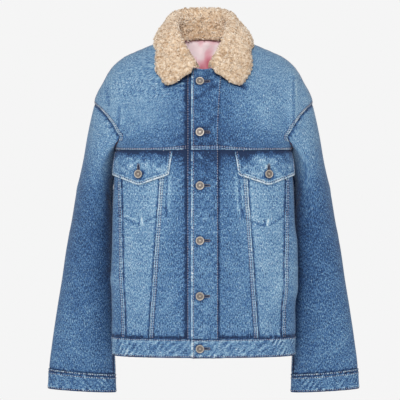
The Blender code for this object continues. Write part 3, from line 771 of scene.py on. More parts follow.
def stitch_line(points, out, away, border, row):
    """Points and directions of a row of stitches at a distance from one border of a grid."""
    if border in ("start", "end"):
        points, out, away = points.transpose(1, 0, 2), out.transpose(1, 0, 2), away.T
    if border in ("end", "high"):
        points, out, away = points[::-1], out[::-1], away[::-1]
    count = points.shape[1]
    both = np.concatenate((points, out), axis=-1)
    return np.array([[np.interp(row, away[:, i], both[:, i, k]) for k in range(6)] for i in range(count)])


# ---------------------------------------------------------------- materials

def srgb(code):
    """An sRGB hex colour as linear red, green, blue and alpha."""
    parts = [int(code[i : i + 2], 16) / 255 for i in (1, 3, 5)]
    return tuple(c / 12.92 if c <= 0.04045 else ((c + 0.055) / 1.055) ** 2.4 for c in parts) + (1.0,)


def add_node(tree, kind, settings=(), values=(), links=()):
    """Adds a node, sets its properties and socket values, and links sockets into it."""
    node = tree.nodes.new(kind)
    for key, value in dict(settings).items():
        setattr(node, key, value)
    for key, value in dict(values).items():
        node.inputs[key].default_value = value
    for key, source in dict(links).items():
        tree.links.new(source, node.inputs[key])
    return node


def ramp(tree, source, *stops):
    """A colour ramp with its stops as (place, colour)."""
    node = add_node(tree, "ShaderNodeValToRGB", links={"Fac": source})
    stock = node.color_ramp.elements
    while len(stock) < len(stops):
        stock.new(0.5)
    for element, (place, colour) in zip(stock, stops):
        element.position = place
        element.color = tuple(colour)[:3] + (1,)
    return node.outputs["Color"]


def maths(tree, operation, *terms):
    """A Math node: each term is a number or a socket."""
    node = add_node(tree, "ShaderNodeMath", {"operation": operation})
    for i, term in enumerate(terms):
        if isinstance(term, (int, float)):
            node.inputs[i].default_value = term
        else:
            tree.links.new(term, node.inputs[i])
    return node.outputs["Value"]


def speckle(tree, where, scale, detail=2.0, roughness=0.5):
    values = {"Scale": scale, "Detail": detail, "Roughness": roughness}
    return add_node(tree, "ShaderNodeTexNoise", values=values, links={"Vector": where}).outputs["Fac"]


def varied(tree, tone, pattern, amount):
    """A tone that a pattern from 0 to 1 makes wander to both sides."""
    return maths(tree, "MULTIPLY_ADD", maths(tree, "SUBTRACT", pattern, 0.5), amount, tone)


def attribute(tree, name):
    return add_node(tree, "ShaderNodeAttribute", {"attribute_name": name}).outputs["Fac"]


def threads(tree):
    """Where each point lies on the flat cloth."""
    return add_node(tree, "ShaderNodeUVMap", {"uv_map": "cloth"}).outputs["UV"]


def mapped(tree, where, **values):
    return add_node(tree, "ShaderNodeMapping", values=values, links={"Vector": where}).outputs["Vector"]


def new_material(name):
    material = bpy.data.materials.new(name)
    material.use_nodes = True
    return material, material.node_tree


def surface(material, colour, height, strength, depth, **values):
    """Gives a material its colour, a bump of this depth in metres and its other values."""
    tree = material.node_tree
    shader = tree.nodes["Principled BSDF"]
    for key, value in values.items():
        shader.inputs[key.replace("_", " ").title()].default_value = value
    relief = {"Strength": strength, "Distance": depth}
    bump = add_node(tree, "ShaderNodeBump", values=relief, links={"Height": height})
    tree.links.new(bump.outputs["Normal"], shader.inputs["Normal"])
    tree.links.new(colour, shader.inputs["Base Color"])
    return material


def washed_denim(colours):
    """Indigo cotton twill, stonewashed: pale on worn crowns and deep in the folds, through its wash and
    through painted light and shade, with a slubby grain.
    """
    material, tree = new_material("washed_denim")
    cloth_place = threads(tree)
    # Twill lines 0.8 mm apart are too fine to show, so they are drawn 4.4 mm apart, at the weave's slope.
    turned = mapped(tree, cloth_place, Rotation=(0, 0, math.radians(-35)))
    twill = add_node(
        tree, "ShaderNodeTexWave", {"wave_type": "BANDS", "bands_direction": "X"},
        {"Scale": 71.0, "Distortion": 2.0, "Detail": 2.0, "Detail Scale": 3.0}, {"Vector": turned},
    ).outputs["Fac"]
    # Slubs run along the warp. They and the grain are drawn 1.8 mm wide, so that they show.
    slub = speckle(tree, mapped(tree, cloth_place, Scale=(1.0, 0.32, 1.0)), 560.0, 2.0, 0.6)
    grain = speckle(tree, cloth_place, 560.0, 1.0, 0.6)
    cloud = speckle(tree, cloth_place, 38.0, 3.0, 0.6)
    tone = attribute(tree, "fade")
    for pattern, amount in ((slub, 1.6), (grain, 1.9), (twill, 0.07), (cloud, 0.30)):
        tone = varied(tree, tone, pattern, amount)
    colour = ramp(
        tree, maths(tree, "MULTIPLY_ADD", tone, 0.8, -0.02), (0.0, colours.indigo), (0.24, colours.mid_blue),
        (0.496, colours.light_blue), (0.704, colours.worn), (0.95, colours.bare),
    )
    height = maths(tree, "ADD", maths(tree, "MULTIPLY", twill, 0.5), slub)
    sheen = dict(sheen_weight=0.08, sheen_roughness=0.5)
    return surface(material, colour, height, 0.35, 0.0006, roughness=0.88, **sheen)


def pink_satin(colours):
    """Polyester satin, woven with long floats: a soft bright sheen over rosy shadows, both painted into its
    colour as highlight and shade.
    """
    material, tree = new_material("pink_satin")
    cloth_place = threads(tree)
    # Painted light and shade: the fade attribute sets the lining's tone, from satin hollow deep in the neck
    # through satin shadow to satin on its puffs. Inside the panels the lining takes the denim's tone, as
    # painted shade.
    fade = maths(tree, "MULTIPLY_ADD", attribute(tree, "fade"), 0.6, 0.4)
    tone = varied(tree, fade, speckle(tree, cloth_place, 45.0), 0.5)
    colour = ramp(tree, tone, (0.0, colours.satin_hollow), (0.4, colours.satin_shadow), (0.9, colours.satin))
    weave = speckle(tree, cloth_place, 900.0, 1.0)
    return surface(material, colour, weave, 0.12, 0.0003, roughness=0.33, sheen_weight=0.3)


def curly_sherpa(colours):
    """Polyester sherpa knit, brushed into curls: cream tips over tan hollows, whose tan is painted shade,
    with no gloss.
    """
    material, tree = new_material("curly_sherpa")
    place = add_node(tree, "ShaderNodeTexCoord").outputs["Object"]
    curls = speckle(tree, place, 260.0, 3.0, 0.6)  # 4 mm across
    tone = varied(tree, attribute(tree, "depth"), curls, 1.2)
    tone = varied(tree, tone, speckle(tree, place, 45.0), 0.12)
    colour = ramp(tree, tone, (0.0, colours.pile_hollow), (0.45, colours.pile), (0.9, colours.pile_tip))
    sheen = dict(sheen_weight=0.35, sheen_roughness=0.6)
    return surface(material, colour, curls, 0.6, 0.0012, roughness=1.0, **sheen)


def plain_material(name, colour, roughness, metallic=0.0, spread=0.25, scale=400.0):
    """A surface whose colour wanders a little round its own."""
    material, tree = new_material(name)
    mottle = speckle(tree, add_node(tree, "ShaderNodeTexCoord").outputs["Object"], scale, 3.0)
    low = [c * (1 - spread) for c in colour[:3]]
    high = [min(1.0, c * (1 + spread)) for c in colour[:3]]
    blend = ramp(tree, mottle, (0.3, low), (0.7, high))
    return surface(material, blend, mottle, 0.2, 0.0002, roughness=roughness, metallic=metallic)


MATERIALS = {}


def use(name):
    """The finished material of this name, made when it is first needed."""
    if name not in MATERIALS:
        colours = bpy.context.scene.jacket_colours
        makers = {
            "denim": lambda: washed_denim(colours),
            "satin": lambda: pink_satin(colours),
            "sherpa": lambda: curly_sherpa(colours),
            # Spun polyester thread, a dull tan that has taken up some of the dye.
            "thread": lambda: plain_material("topstitch_thread", colours.thread, 0.7, spread=0.35),
            "dull_thread": lambda: plain_material("buttonhole_thread", colours.buttonhole, 0.8),
            # Painted shade, for the needle holes and the buttonholes' slots.
            "shadow_thread": lambda: plain_material("painted_shade_indigo", colours.indigo, 0.8),
            # Nickel plate, rubbed bright on the rim, over antiqued copper in the dished middle.
            "nickel": lambda: plain_material("rubbed_nickel", colours.rim, 0.45, 0.75, 0.12),
            "copper": lambda: plain_material("antiqued_copper", colours.button, 0.55, 0.6, 0.3),
        }
        MATERIALS[name] = makers[name]()
    return MATERIALS[name]


# ---------------------------------------------------------------- making pieces

def deselect():
    if bpy.context.object and bpy.context.object.mode != "OBJECT":
        bpy.ops.object.mode_set(mode="OBJECT")
    bpy.ops.object.select_all(action="DESELECT")


def apply_modifier(piece, kind, **settings):
    """Adds a modifier, sets it and applies it."""
    modifier = piece.modifiers.new(kind.lower(), kind)
    for key, value in settings.items():
        setattr(modifier, key, value)
    bpy.context.view_layer.objects.active = piece
    bpy.ops.object.modifier_apply(modifier=modifier.name)


def settle(piece, slot, nodes=()):
    """Rides a finished piece on the jacket, in the place of its solids."""
    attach(piece, "root")
    if nodes:
        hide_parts(*nodes)


def laid_grid(name, points, attributes, out, across=False):
    """A flat grid laid over points so that it faces out, with its cloth's threads as its UV map."""
    a = points[:-1, 1:] - points[:-1, :-1]
    b = points[1:, :-1] - points[:-1, :-1]
    if np.sum(np.cross(a, b) * out[:-1, :-1]) < 0:
        points = points[:, ::-1]
        attributes = {key: value[:, ::-1] for key, value in attributes.items()}
    away = distances(points)
    uv = np.stack((away["low"], -away["start"]) if across else (away["start"], away["low"]), axis=-1)
    rows, columns = points.shape[:2]
    deselect()
    bpy.ops.mesh.primitive_grid_add(x_subdivisions=columns - 1, y_subdivisions=rows - 1, size=1)
    piece = bpy.context.object
    piece.name = piece.data.name = name
    mesh = piece.data
    mesh.vertices.foreach_set("co", (points * MM).ravel())
    corner = np.zeros(len(mesh.loops), int)
    mesh.loops.foreach_get("vertex_index", corner)
    while mesh.uv_layers:
        mesh.uv_layers.remove(mesh.uv_layers[0])
    layer = mesh.uv_layers.new(name="cloth")
    layer.data.foreach_set("uv", (uv.reshape(-1, 2)[corner] * MM).ravel())
    for key, values in attributes.items():
        layer = mesh.attributes.new(key, "FLOAT", "POINT")
        layer.data.foreach_set("value", np.ascontiguousarray(values).ravel())
    mesh.update()
    return piece


def cut_size(points):
    """The flat width, length and area of a piece of cloth, from its form without seams or creases."""
    away = distances(points)
    across, along = np.diff(points, axis=1)[:-1], np.diff(points, axis=0)[:, :-1]
    area = np.linalg.norm(np.cross(across, along), axis=-1).sum() * MM**2
    width, length = away["start"][:, -1].max() * MM, away["low"][-1].max() * MM
    return (width, length), min(area, width * length)


def edit_all(piece, operate, **options):
    """Runs an operator on the whole of a piece in edit mode."""
    piece.select_set(True)
    bpy.context.view_layer.objects.active = piece
    bpy.ops.object.mode_set(mode="EDIT")
    bpy.ops.mesh.select_all(action="SELECT")
    operate(**options)
    bpy.ops.object.mode_set(mode="OBJECT")


def cloth(
    name, points, plain, out, looks, wall, materials=("denim", "satin"), slot="denim_light",
    held="hung", closed=False, across=False, turned=None,
):
    """One sheet of cloth from the points of its outer face, with its second material inside.

    Looks are its attributes. Turned gives each outer face's material, where both show on the outside.
    """
    piece = laid_grid(name, points, looks, out, across)
    for material in materials:
        piece.data.materials.append(use(material))
    if turned is not None:
        piece.data.polygons.foreach_set("material_index", turned.ravel())
    if closed:
        edit_all(piece, bpy.ops.mesh.remove_doubles, threshold=WELD)
    inner = 1 if turned is None else 0
    apply_modifier(
        piece, "SOLIDIFY", thickness=wall * MM, offset=-1.0, material_offset=inner, material_offset_rim=0
    )
    bpy.ops.object.shade_smooth_by_angle(angle=math.radians(55))
    settle(piece, slot, (name,))
    flat, area = cut_size(plain)
    return piece


STITCHES = []  # rows of stitches: points and directions, gathered as the panels are made


def sewn(plain, out, seams, up, along, height, fade, seeds, leaning, ends_at=None):
    """Points and tone of a piece with a seam on each border, whose rows of stitches are gathered; its seams'
    painted light and shade are added to its tone.

    The seams on its start and end borders run up it, and the others along it, each pair with its own seed.
    Leaning names the borders whose puckers slant back. The seam on the end border dies away below the
    level ends_at, where a fold lies over it.
    """
    away = distances(plain)
    for border, kind in seams.items():
        upright = border in ("start", "end")
        lean = -1 if border in leaning else 1
        relief, wear_and_shade = seam_relief(kind, away[border], up if upright else along, seeds[upright], lean)
        shown = 1.0 if ends_at is None or border != "end" else rise(up, ends_at, ends_at + 12)
        height, fade = height + relief * shown, fade + wear_and_shade * shown
    points = plain + out * height[..., None]
    for border, kind in seams.items():
        for row in SEAMS[kind][1]:
            line = stitch_line(points, out, away[border], border, row)
            if ends_at is not None and border == "end":
                line = line[up[:, -1] > ends_at + 8]
            STITCHES.append(line)
    return points, fade


def panel(
    name, lines, seams, shade, spacing=3.6, near=1.15, lift=0.0, ends_at=None, mottle=0.05, **options
):
    """A panel of the body: its outline, the kind of seam on each border and how pale its wash leaves it.

    Mottle is how unevenly the cloth's wash has faded.
    """
    rough = np.linspace(0, 1, 25)
    length = {key: run_length(body(*lines[key](rough).T)) for key in lines}
    u = shares(max(length["low"], length["high"]), spacing, near)
    v = shares(max(length["start"], length["end"]), spacing, near)
    angle, level = np.moveaxis(patch(u=u, v=v, **lines), -1, 0)
    plain, out = body(angle, level), body_out(angle, level)
    crease = line_lift(CREASES, plain, angle)
    height = lift + crease + MARK_DEPTH * line_lift(MARKS_WEAR_AND_SHADE, plain, angle)
    # Painted light and shade of the creases and folds: paler on their crowns and deeper in their troughs.
    fade = shade + washed_and_shaded(plain, angle) + 0.05 * crease + 0.02 * line_lift(FOLDS, plain, angle)
    fade = fade + mottle * lumps(plain, 9.0, 5.0)
    along = angle * GIRTH_PER_DEGREE
    points, fade = sewn(plain, out, seams, level, along, height, fade, (0.6, 1.7), ("end", "high"), ends_at)
    return cloth(name, points, plain, out, {"fade": fade}, DENIM_WALL, **options)


def repeat(name, model, origins, axes, sizes=None, tones=None):
    """Copies of one small model, each turned to its own axes, in one mesh."""
    mesh = model.data
    verts = np.array([v.co for v in mesh.vertices])
    faces = [tuple(p.vertices) for p in mesh.polygons]
    sizes = np.ones(len(origins)) if sizes is None else sizes
    placed = np.einsum("vk,nkj->nvj", verts, axes) * sizes[:, None, None] + origins[:, None] * MM
    count = len(verts)
    every = [tuple(i + count * k for i in face) for k in range(len(origins)) for face in faces]
    made = bpy.data.meshes.new(name)
    made.from_pydata(placed.reshape(-1, 3), [], every)
    if tones is not None:
        made.attributes.new("depth", "FLOAT", "POINT").data.foreach_set("value", np.repeat(tones, count))
    piece = bpy.data.objects.new(name, made)
    bpy.context.scene.collection.objects.link(piece)
    made.shade_smooth()
    bpy.data.objects.remove(model)
    return piece


# ---------------------------------------------------------------- settings

def colour_setting(name, words, code):
    return bpy.props.FloatVectorProperty(
        name=name, description=words, subtype="COLOR", size=3, min=0, max=1, default=srgb(code)[:3]
    )


def length_setting(name, words, mm):
    return bpy.props.FloatProperty(
        name=name, description=words, default=mm * MM, min=0, subtype="DISTANCE", unit="LENGTH"
    )


class JacketColours(bpy.types.PropertyGroup):
    """Colours of the jacket's cloth, pile, thread and metal."""

    # Indigo and mid blue are the denim's own deep dye, and also its painted shade in grooves, troughs and
    # under lapped edges.
    indigo: colour_setting("Indigo", "Denim in its deepest folds", "#0e284c")
    mid_blue: colour_setting("Mid blue", "Denim of the sleeves and troughs", "#305e95")
    light_blue: colour_setting("Light blue", "Denim of the washed panels", "#6e98b7")
    worn: colour_setting("Worn", "Denim on its palest crowns", "#a6c5d8")
    bare: colour_setting("Bare", "Cotton rubbed bare on edges", "#dae1e4")
    # Satin is the lining's painted highlight, and satin hollow and satin shadow its painted shade.
    satin: colour_setting("Satin", "Lining where it catches the light", "#fbe8ea")
    satin_hollow: colour_setting("Satin hollow", "Lining deep inside the neck", "#c9717f")
    satin_shadow: colour_setting("Satin shadow", "Lining in its hollows", "#e8a6b2")
    pile: colour_setting("Pile", "Sherpa seen from a distance", "#dfc8ad")
    pile_tip: colour_setting("Pile tips", "The ends of its curls", "#f6e8d5")
    # Pile hollows is painted shade between the curls.
    pile_hollow: colour_setting("Pile hollows", "Between its curls", "#bd9c79")
    thread: colour_setting("Thread", "Topstitching", "#cdc3cb")
    buttonhole: colour_setting("Buttonhole", "The dull thread of the buttonholes", "#837a7c")
    button: colour_setting("Button", "The buttons' dished middles", "#857d78")
    rim: colour_setting("Button rim", "The buttons' rubbed rims", "#bfb7ad")


class JacketSizes(bpy.types.PropertyGroup):
    """Sizes of the jacket's small work."""

    stitch: length_setting("Stitch", "Length of a stitch that shows", 2.3)
    stitch_pitch: length_setting("Stitch pitch", "From one stitch to the next, drawn long to show", 5.0)
    thread: length_setting("Thread", "Thickness of the thread, drawn heavy so that it shows", 1.3)
    button: length_setting("Button", "Width of a button", 17.0)
    curl: length_setting("Curl", "Width of one curl of the sherpa", 4.6)


# ---------------------------------------------------------------- the body

BACK_CLOTH = dict(spacing=4.4, near=1.6, slot="denim_mid")


def side_name(side):
    return "left" if side > 0 else "right"


def shoulder_line():
    return straight((90, SHOULDER_POINT), (90, NECK))


def back_yoke_lines():
    left = chain((armhole_run(BACK_TURN, 360.0), 5), (shoulder_line(), 5))
    first = armhole(np.array([BACK_TURN]))[0]
    corners = np.array((first, (BACK_SEAM_YOKE, BACK_YOKE_SEAM), (360 - BACK_SEAM_YOKE, BACK_YOKE_SEAM)))
    corners = np.vstack((corners, (360 - first[0], first[1])))
    low = chain(*((straight(corners[i], corners[i + 1]), (2, 8, 2)[i]) for i in range(3)))
    right = lambda t: np.array((360, 0)) - left(t) * (1, -1)
    return outline(left, right, low, straight((90, NECK), (270, NECK)))


class JACKET_OT_body(bpy.types.Operator):
    """Cuts the yokes, the front, side and back panels and lays them on the body"""

    bl_idname = "jacket.body"
    bl_label = "Body panels"

    def execute(self, context):
        for side in SIDES:
            self.front(side)
        self.back()
        return {"FINISHED"}

    def front(self, side):
        named = side_name(side)
        edge, beside = (PLACKET_STITCH, "tucked") if side > 0 else (UNDERLAP_EDGE, "shaded")
        outer = mirrored(chain((armhole_run(FRONT_TURN, 0), 8), (shoulder_line(), 5)), side)
        inner = placket_line(CHEST_SEAM, NECK) if side > 0 else at_x(edge, edge, CHEST_SEAM, NECK)
        seams = dict(low="felled", high="none", start="none" if side > 0 else "shaded", end="felled")
        # Its outer seam is sewn only above the chest's fold.
        panel(f"front_yoke_{named}", outline(inner, outer), seams, 0.58, spacing=3.2, ends_at=436.0)
        inside, outside = (mirrored(at_x(low_x, high_x), side) for high_x, low_x in zip(*V_SEAMS.values()))
        underarm = armhole(np.array([UNDERARM_TURN]))[0] * (side, 1)
        side_seam = straight((side * SIDE_SEAM_ANGLE, BAND_TOP), underarm)
        self.lower(f"front_centre_{named}", at_x(edge, edge), inside, beside, "felled", 0.42)
        self.lower(f"front_pocket_panel_{named}", inside, outside, "tucked", "tucked", 0.56)
        under_arm = mirrored(armhole_run(FRONT_TURN, UNDERARM_TURN), side)
        top = chain((straight(outside([1.0])[0], under_arm([0.0])[0]), 2), (under_arm, 4))
        self.lower(f"side_panel_{named}", outside, side_seam, "felled", "tucked", 0.39, top)

    def lower(self, name, start, end, start_seam, end_seam, shade, top=None, **options):
        """A panel that hangs from the chest seam or the back yoke to the band."""
        seams = dict(low="shaded", high="sunken", start=start_seam, end=end_seam)
        panel(name, outline(start, end, high=top), seams, shade, **options)

    def back(self):
        seams = dict(low="felled", high="none", start="felled", end="felled")
        panel("back_yoke", back_yoke_lines(), seams, 0.55, **BACK_CLOTH)
        left, right, across = (
            straight((turn(BACK_SEAM_BAND), BAND_TOP), (turn(BACK_SEAM_YOKE), BACK_YOKE_SEAM))
            for turn in (lambda a: a, lambda a: -a, lambda a: 360 - a)
        )
        self.lower("back_centre", left, across, "felled", "felled", 0.50, **BACK_CLOTH)
        for side, inner in ((1, left), (-1, right)):
            armhole_part = mirrored(armhole_run(UNDERARM_TURN, BACK_TURN), side)
            side_seam = straight((side * SIDE_SEAM_ANGLE, BAND_TOP), armhole_part([0.0])[0])
            outer = chain((side_seam, 345), (armhole_part, 70))
            self.lower(f"back_side_{side_name(side)}", outer, inner, "felled", "tucked", 0.46, **BACK_CLOTH)


# ---------------------------------------------------------------- the front opening, band and flaps

LAP_RISE = 14.0  # how far along the band it takes to climb over its lapped end
PLACKET_CLOTH = dict(
    spacing=2.6, lift=LAYER_GAP + CLOTH, mottle=0.20, materials=("denim", "denim"), slot="denim_mid"
)


def strip_lines(from_x, low, high):
    """A strip of the front opening, from an upright edge to the placket's stitched side."""
    return outline(at_x(from_x, from_x, low, high), placket_line(low, high))


class JACKET_OT_front_opening(bpy.types.Operator):
    """Makes the underlap, the lapped placket in its two lengths and the waistband"""

    bl_idname = "jacket.front_opening"
    bl_label = "Placket and waistband"

    def execute(self, context):
        free = dict(low="none", high="none", start="single", end="none")
        panel("underlap", strip_lines(UNDERLAP_EDGE, BAND_TOP, NECK), free, 0.34, near=2.0, slot="denim_mid")
        lapped = dict(low="none", high="tucked", start="edge", end="single")
        panel("placket_lower", strip_lines(PLACKET_EDGE, BAND_TOP, CHEST_SEAM), lapped, 0.42, **PLACKET_CLOTH)
        lapped = dict(low="felled", high="none", start="edge", end="soft")
        panel("placket_upper", strip_lines(PLACKET_EDGE, CHEST_SEAM, NECK), lapped, 0.58, **PLACKET_CLOTH)
        self.waistband()
        return {"FINISHED"}

    def waistband(self):
        stops = (PLACKET_EDGE, PLACKET_STITCH, PLACKET_STITCH + LAP_RISE)
        lapped, start, climb = (float(angle_at(BAND_TOP / 2, x)) for x in stops)
        over = start + 0.2
        angle = np.concatenate((
            np.linspace(lapped, over, 22, endpoint=False),
            np.linspace(over, climb, 10, endpoint=False),
            np.linspace(climb, 360 + start - 0.5, 320),
        ))
        angle, level = np.meshgrid(angle, HEM + (BAND_TOP - HEM) * shares(BAND_TOP - HEM, 2.2))
        plain, out = body(angle, level), body_out(angle, level)
        along = angle * GIRTH_PER_DEGREE
        twist = streaks(along, level, 2.0)
        height = (BAND + LAYER_GAP) * (1 - rise(angle, over, climb)) + 0.5 * twist
        fade = 0.47 + washed_and_shaded(plain, angle) + 0.24 * twist + 0.20 * lumps(plain, 10.0, 6.0)
        seams = dict(low="roped", high="roped", start="edge")
        points, fade = sewn(plain, out, seams, level, along, height, fade, (2.2, 2.2), ("low", "start"))
        cloth("waistband", points, plain, out, {"fade": fade}, FOLDED_WALL, ("denim", "denim"), across=True)


FLAP_TOP = 421.5
FLAP_CORNER = 371.0
FLAP_POINT = 350.0
FLAP_INNER_X = (63.0, 69.0)  # at the seam and at the corner
FLAP_POINT_X = 130.0
FLAP_OUTER_ANGLE = 80.0
FLAP_GAP = 0.8
FLAP_FLARE = 1.2
FLAP_WIDTH, FLAP_HEIGHT = 122.0, 52.0  # rough sizes, which set how finely it is sampled


class JACKET_OT_pocket_flaps(bpy.types.Operator):
    """Hangs the two pointed pocket flaps from the chest seam"""

    bl_idname = "jacket.pocket_flaps"
    bl_label = "Pocket flaps"

    def execute(self, context):
        for side in SIDES:
            self.flap(side)
        return {"FINISHED"}

    def flap(self, side):
        u, v = shares(FLAP_WIDTH, 2.2), shares(FLAP_HEIGHT, 2.2)
        inner = angle_at(FLAP_TOP, FLAP_INNER_X[0] + (FLAP_INNER_X[1] - FLAP_INNER_X[0]) * (1 - v))
        point = float(angle_at(FLAP_TOP, FLAP_POINT_X))
        angle = np.array([np.interp(u, (0, 0.5, 1), (edge, point, FLAP_OUTER_ANGLE)) for edge in inner])
        x = body_rings(angle[0], FLAP_CORNER)[:, 0]
        middle = body_rings(point, FLAP_CORNER)[0]
        bottom = np.interp(x, (x[0], middle, x[-1]), (FLAP_CORNER, FLAP_POINT, FLAP_CORNER))
        # The point and the two corners are a little rounded.
        for place, rounding in ((0.5, 1.4), (0.0, 1.6), (1.0, 1.6)):
            bottom = bottom + rounding * np.exp(-(((u - place) / 0.02) ** 2))
        down = (1 - v)[:, None]
        level = FLAP_TOP + (bottom[None] - FLAP_TOP) * down
        angle = angle * side
        plain, out = body(angle, level), body_out(angle, level)
        height = FLAP_GAP + CLOTH + FLAP_FLARE * down
        fade = 0.56 + fades_at(FADES, plain, angle) + fades_at(FLAP_FADES, plain, angle)
        fade = fade + painted_button_shade(plain, angle) + 0.28 * lumps(plain, 9.0, 7.0)
        away = distances(plain)
        free = ("low", "start", "end")
        nearest = np.min([away[border] for border in free], axis=0)
        for distance, kind in ((nearest, "flap_edge"), (away["high"], "sunken")):
            relief, wear_and_shade = seam_relief(kind, distance, angle * GIRTH_PER_DEGREE + level, 4.4)
            height, fade = height + relief, fade + wear_and_shade
        points = plain + out * height[..., None]
        row = SEAMS["flap_edge"][1][0]
        for border in free:
            # A row turns at each corner, where it comes as near to the next edge as to its own.
            others = [
                stitch_line(np.repeat(away[key][..., None], 3, 2), out, away[border], border, row)[:, 0]
                for key in free if key != border
            ]
            line = stitch_line(points, out, away[border], border, row)
            STITCHES.append(line[np.min(others, axis=0) >= row])
        name = f"pocket_flap_{side_name(side)}"
        cloth(name, points, plain, out, {"fade": fade}, FLAP_WALL, ("denim", "denim"))


# ---------------------------------------------------------------- the sleeves

class JACKET_OT_sleeves(bpy.types.Operator):
    """Makes the top and under sleeves and their cuffs"""

    bl_idname = "jacket.sleeves"
    bl_label = "Sleeves and cuffs"

    def execute(self, context):
        for side in SIDES:
            named = side_name(side)
            top = dict(low="shaded", high="tucked", start="felled", end="tucked")
            self.length(f"sleeve_top_{named}", SLEEVE_BACK_SEAM - 360, SLEEVE_FRONT_SEAM, side, top, 0.30)
            under = dict(top, low="tucked")
            self.length(f"sleeve_under_{named}", SLEEVE_FRONT_SEAM, SLEEVE_BACK_SEAM, side, under, 0.26)
            self.cuff(f"cuff_{named}", side)
        return {"FINISHED"}

    def surface(self, turn, down, side, seams, shade, lift):
        plain, out = sleeve(turn, down), sleeve_out(turn, down)
        crease = ripple_lift(SLEEVE_CREASES, turn, down)
        # Painted light and shade of the creases and folds: paler on their crowns and deeper in their troughs.
        fade = shade + 0.06 * crease + 0.02 * ripple_lift(SLEEVE_FOLDS, turn, down)
        if down.min() >= SLEEVE_END:
            fade = fade + 0.20 * lumps(plain, 10.0, 8.0)
        for spot in rows(SLEEVE_FADES_AND_SHADE):
            around = signed(turn - spot.turn) / spot.radius_turn
            along = (down - spot.down) / spot.radius_down
            fade = fade + spot.amount * np.exp(-(around**2) - along**2)
        mirror = np.array((side, 1, 1))
        plain, out = plain * mirror, out * mirror
        along = turn * SLEEVE_PER_DEGREE
        points, fade = sewn(plain, out, seams, down, along, lift + crease, fade, (5.1, 5.1), ("high",))
        return points, plain, out, {"fade": fade}

    def length(self, name, first, last, side, seams, shade):
        rough = np.linspace(first, last, 40)
        around = run_length(sleeve(rough, np.full(40, 60.0)))
        turn = first + (last - first) * shares(around, 4.4, 1.25)
        turn, down = np.meshgrid(turn, SLEEVE_END * shares(SLEEVE_END, 4.4, 1.25))
        piece = self.surface(turn, down, side, seams, shade, 0.0)
        cloth(name, *piece, DENIM_WALL, slot="denim_mid")

    def cuff(self, name, side):
        down = SLEEVE_END + 0.2 + (CUFF_END - SLEEVE_END - 0.2) * shares(CUFF_END - SLEEVE_END, 2.4)
        turn, down = np.meshgrid(np.linspace(0, 360, 121), down)
        twist = streaks(turn * SLEEVE_PER_DEGREE, down, 3.0)
        seams = dict(low="gathered", high="roped")
        piece = self.surface(turn, down, side, seams, 0.36 + 0.24 * twist, 0.8 + 0.4 * twist)
        piece[0][:, -1] = piece[0][:, 0]
        cloth(name, *piece, FOLDED_WALL, ("denim", "denim"), slot="denim_mid", closed=True, across=True)


# ---------------------------------------------------------------- collar and lining

COLLAR_ENDS = 9, 180  # the angles of its front end and of the centre back


def collar_section(angle):
    """The collar's backing from the neck seam up over the fold and down to its edge, at one angle."""
    side = 1 if angle >= 0 else -1
    row = row_at({k: v[::-1] for k, v in COLLAR.items()}, "angle", abs(angle))
    rim = body(angle, NECK)
    seam = rim + unit(rim - body(angle, NECK - 1)) * row["rise"] - body_out(angle, NECK) * CLOTH / 2
    edge_angle = side * row["edge_angle"]
    edge = body(edge_angle, row["edge_level"]) + body_out(edge_angle, row["edge_level"]) * row["edge_lift"]
    lean = 1 - COLLAR_LEAN if side > 0 else 1.0
    fold = np.array((side * lean * row["fold_x"], row["fold_y"], row["fold_z"]))
    across = unit(unit(edge - seam) * np.array((1, 1, 0)))
    up = np.array((0, 0, 1.0))
    centre = fold - FOLD_RADIUS * up
    turns = np.radians((150, 90, 30))
    arc = [centre + FOLD_RADIUS * (math.sin(t) * up + math.cos(t) * across) for t in turns]
    stand = [seam + (centre - FOLD_RADIUS * across - seam) * share for share in (0, 0.5, 1)]
    start = centre + FOLD_RADIUS * across
    shares_down = (0.0, 0.25, 0.5, 0.75, 1.0)
    fall = [start + (edge - start) * t + across * FALL_BOW * math.sin(math.pi * t) for t in shares_down]
    return np.array(stand + arc + fall)


def collar_backing(columns):
    """The whole backing: rows from the neck seam over the fold to the edge, columns round the neck."""
    half = np.linspace(*COLLAR_ENDS, 17)
    angles = np.concatenate((half, -half[-2::-1]))
    backing = np.array([collar_section(angle) for angle in angles]).transpose(1, 0, 2)
    down = np.linspace(0, 1, len(backing))[:, None]
    bow = smooth(FRONT_EDGE["share"], FRONT_EDGE["out"], down)
    for end, next_in in ((0, 1), (-1, -2)):
        backing[:, end] += unit(backing[:, end] - backing[:, next_in]) * bow
    for axis, count in ((0, round(columns * 0.3)), (1, columns)):
        grid = np.moveaxis(backing, axis, 0)
        steps = np.linalg.norm(np.diff(grid, axis=0), axis=-1).mean(axis=1)
        knots = np.concatenate(([0.0], np.cumsum(steps)))
        at = np.linspace(0, knots[-1], count)
        flat = grid.reshape(len(grid), -1)
        finer = np.stack([smooth(knots, flat[:, k], at) for k in range(flat.shape[1])], axis=-1)
        backing = np.moveaxis(finer.reshape((count,) + grid.shape[1:]), 0, axis)
    return backing


def grid_out(points):
    return unit(np.cross(np.gradient(points, axis=0), np.gradient(points, axis=1)))


PILE_ROUND = 9.0  # how far from its edges the pile reaches its full depth
PILE_ROOM = 1.6  # how much of the pile's depth is left for its clumps
PILE_REACH = 2.0  # how far the pile reaches past its backing, and past the neck seam
PILE_REACH_NECK = 1.5
CURL_COUNT = 4000
CURL_SEED = 7
TURNED_IN = 12  # faces at each front end of the under collar where the pile is turned in
ON_EDGE = Matrix(((1, 0, 0, 0), (0, 0, -1, 0), (0, 1, 0, 0), (0, 0, 0, 1)))  # stands a curl up


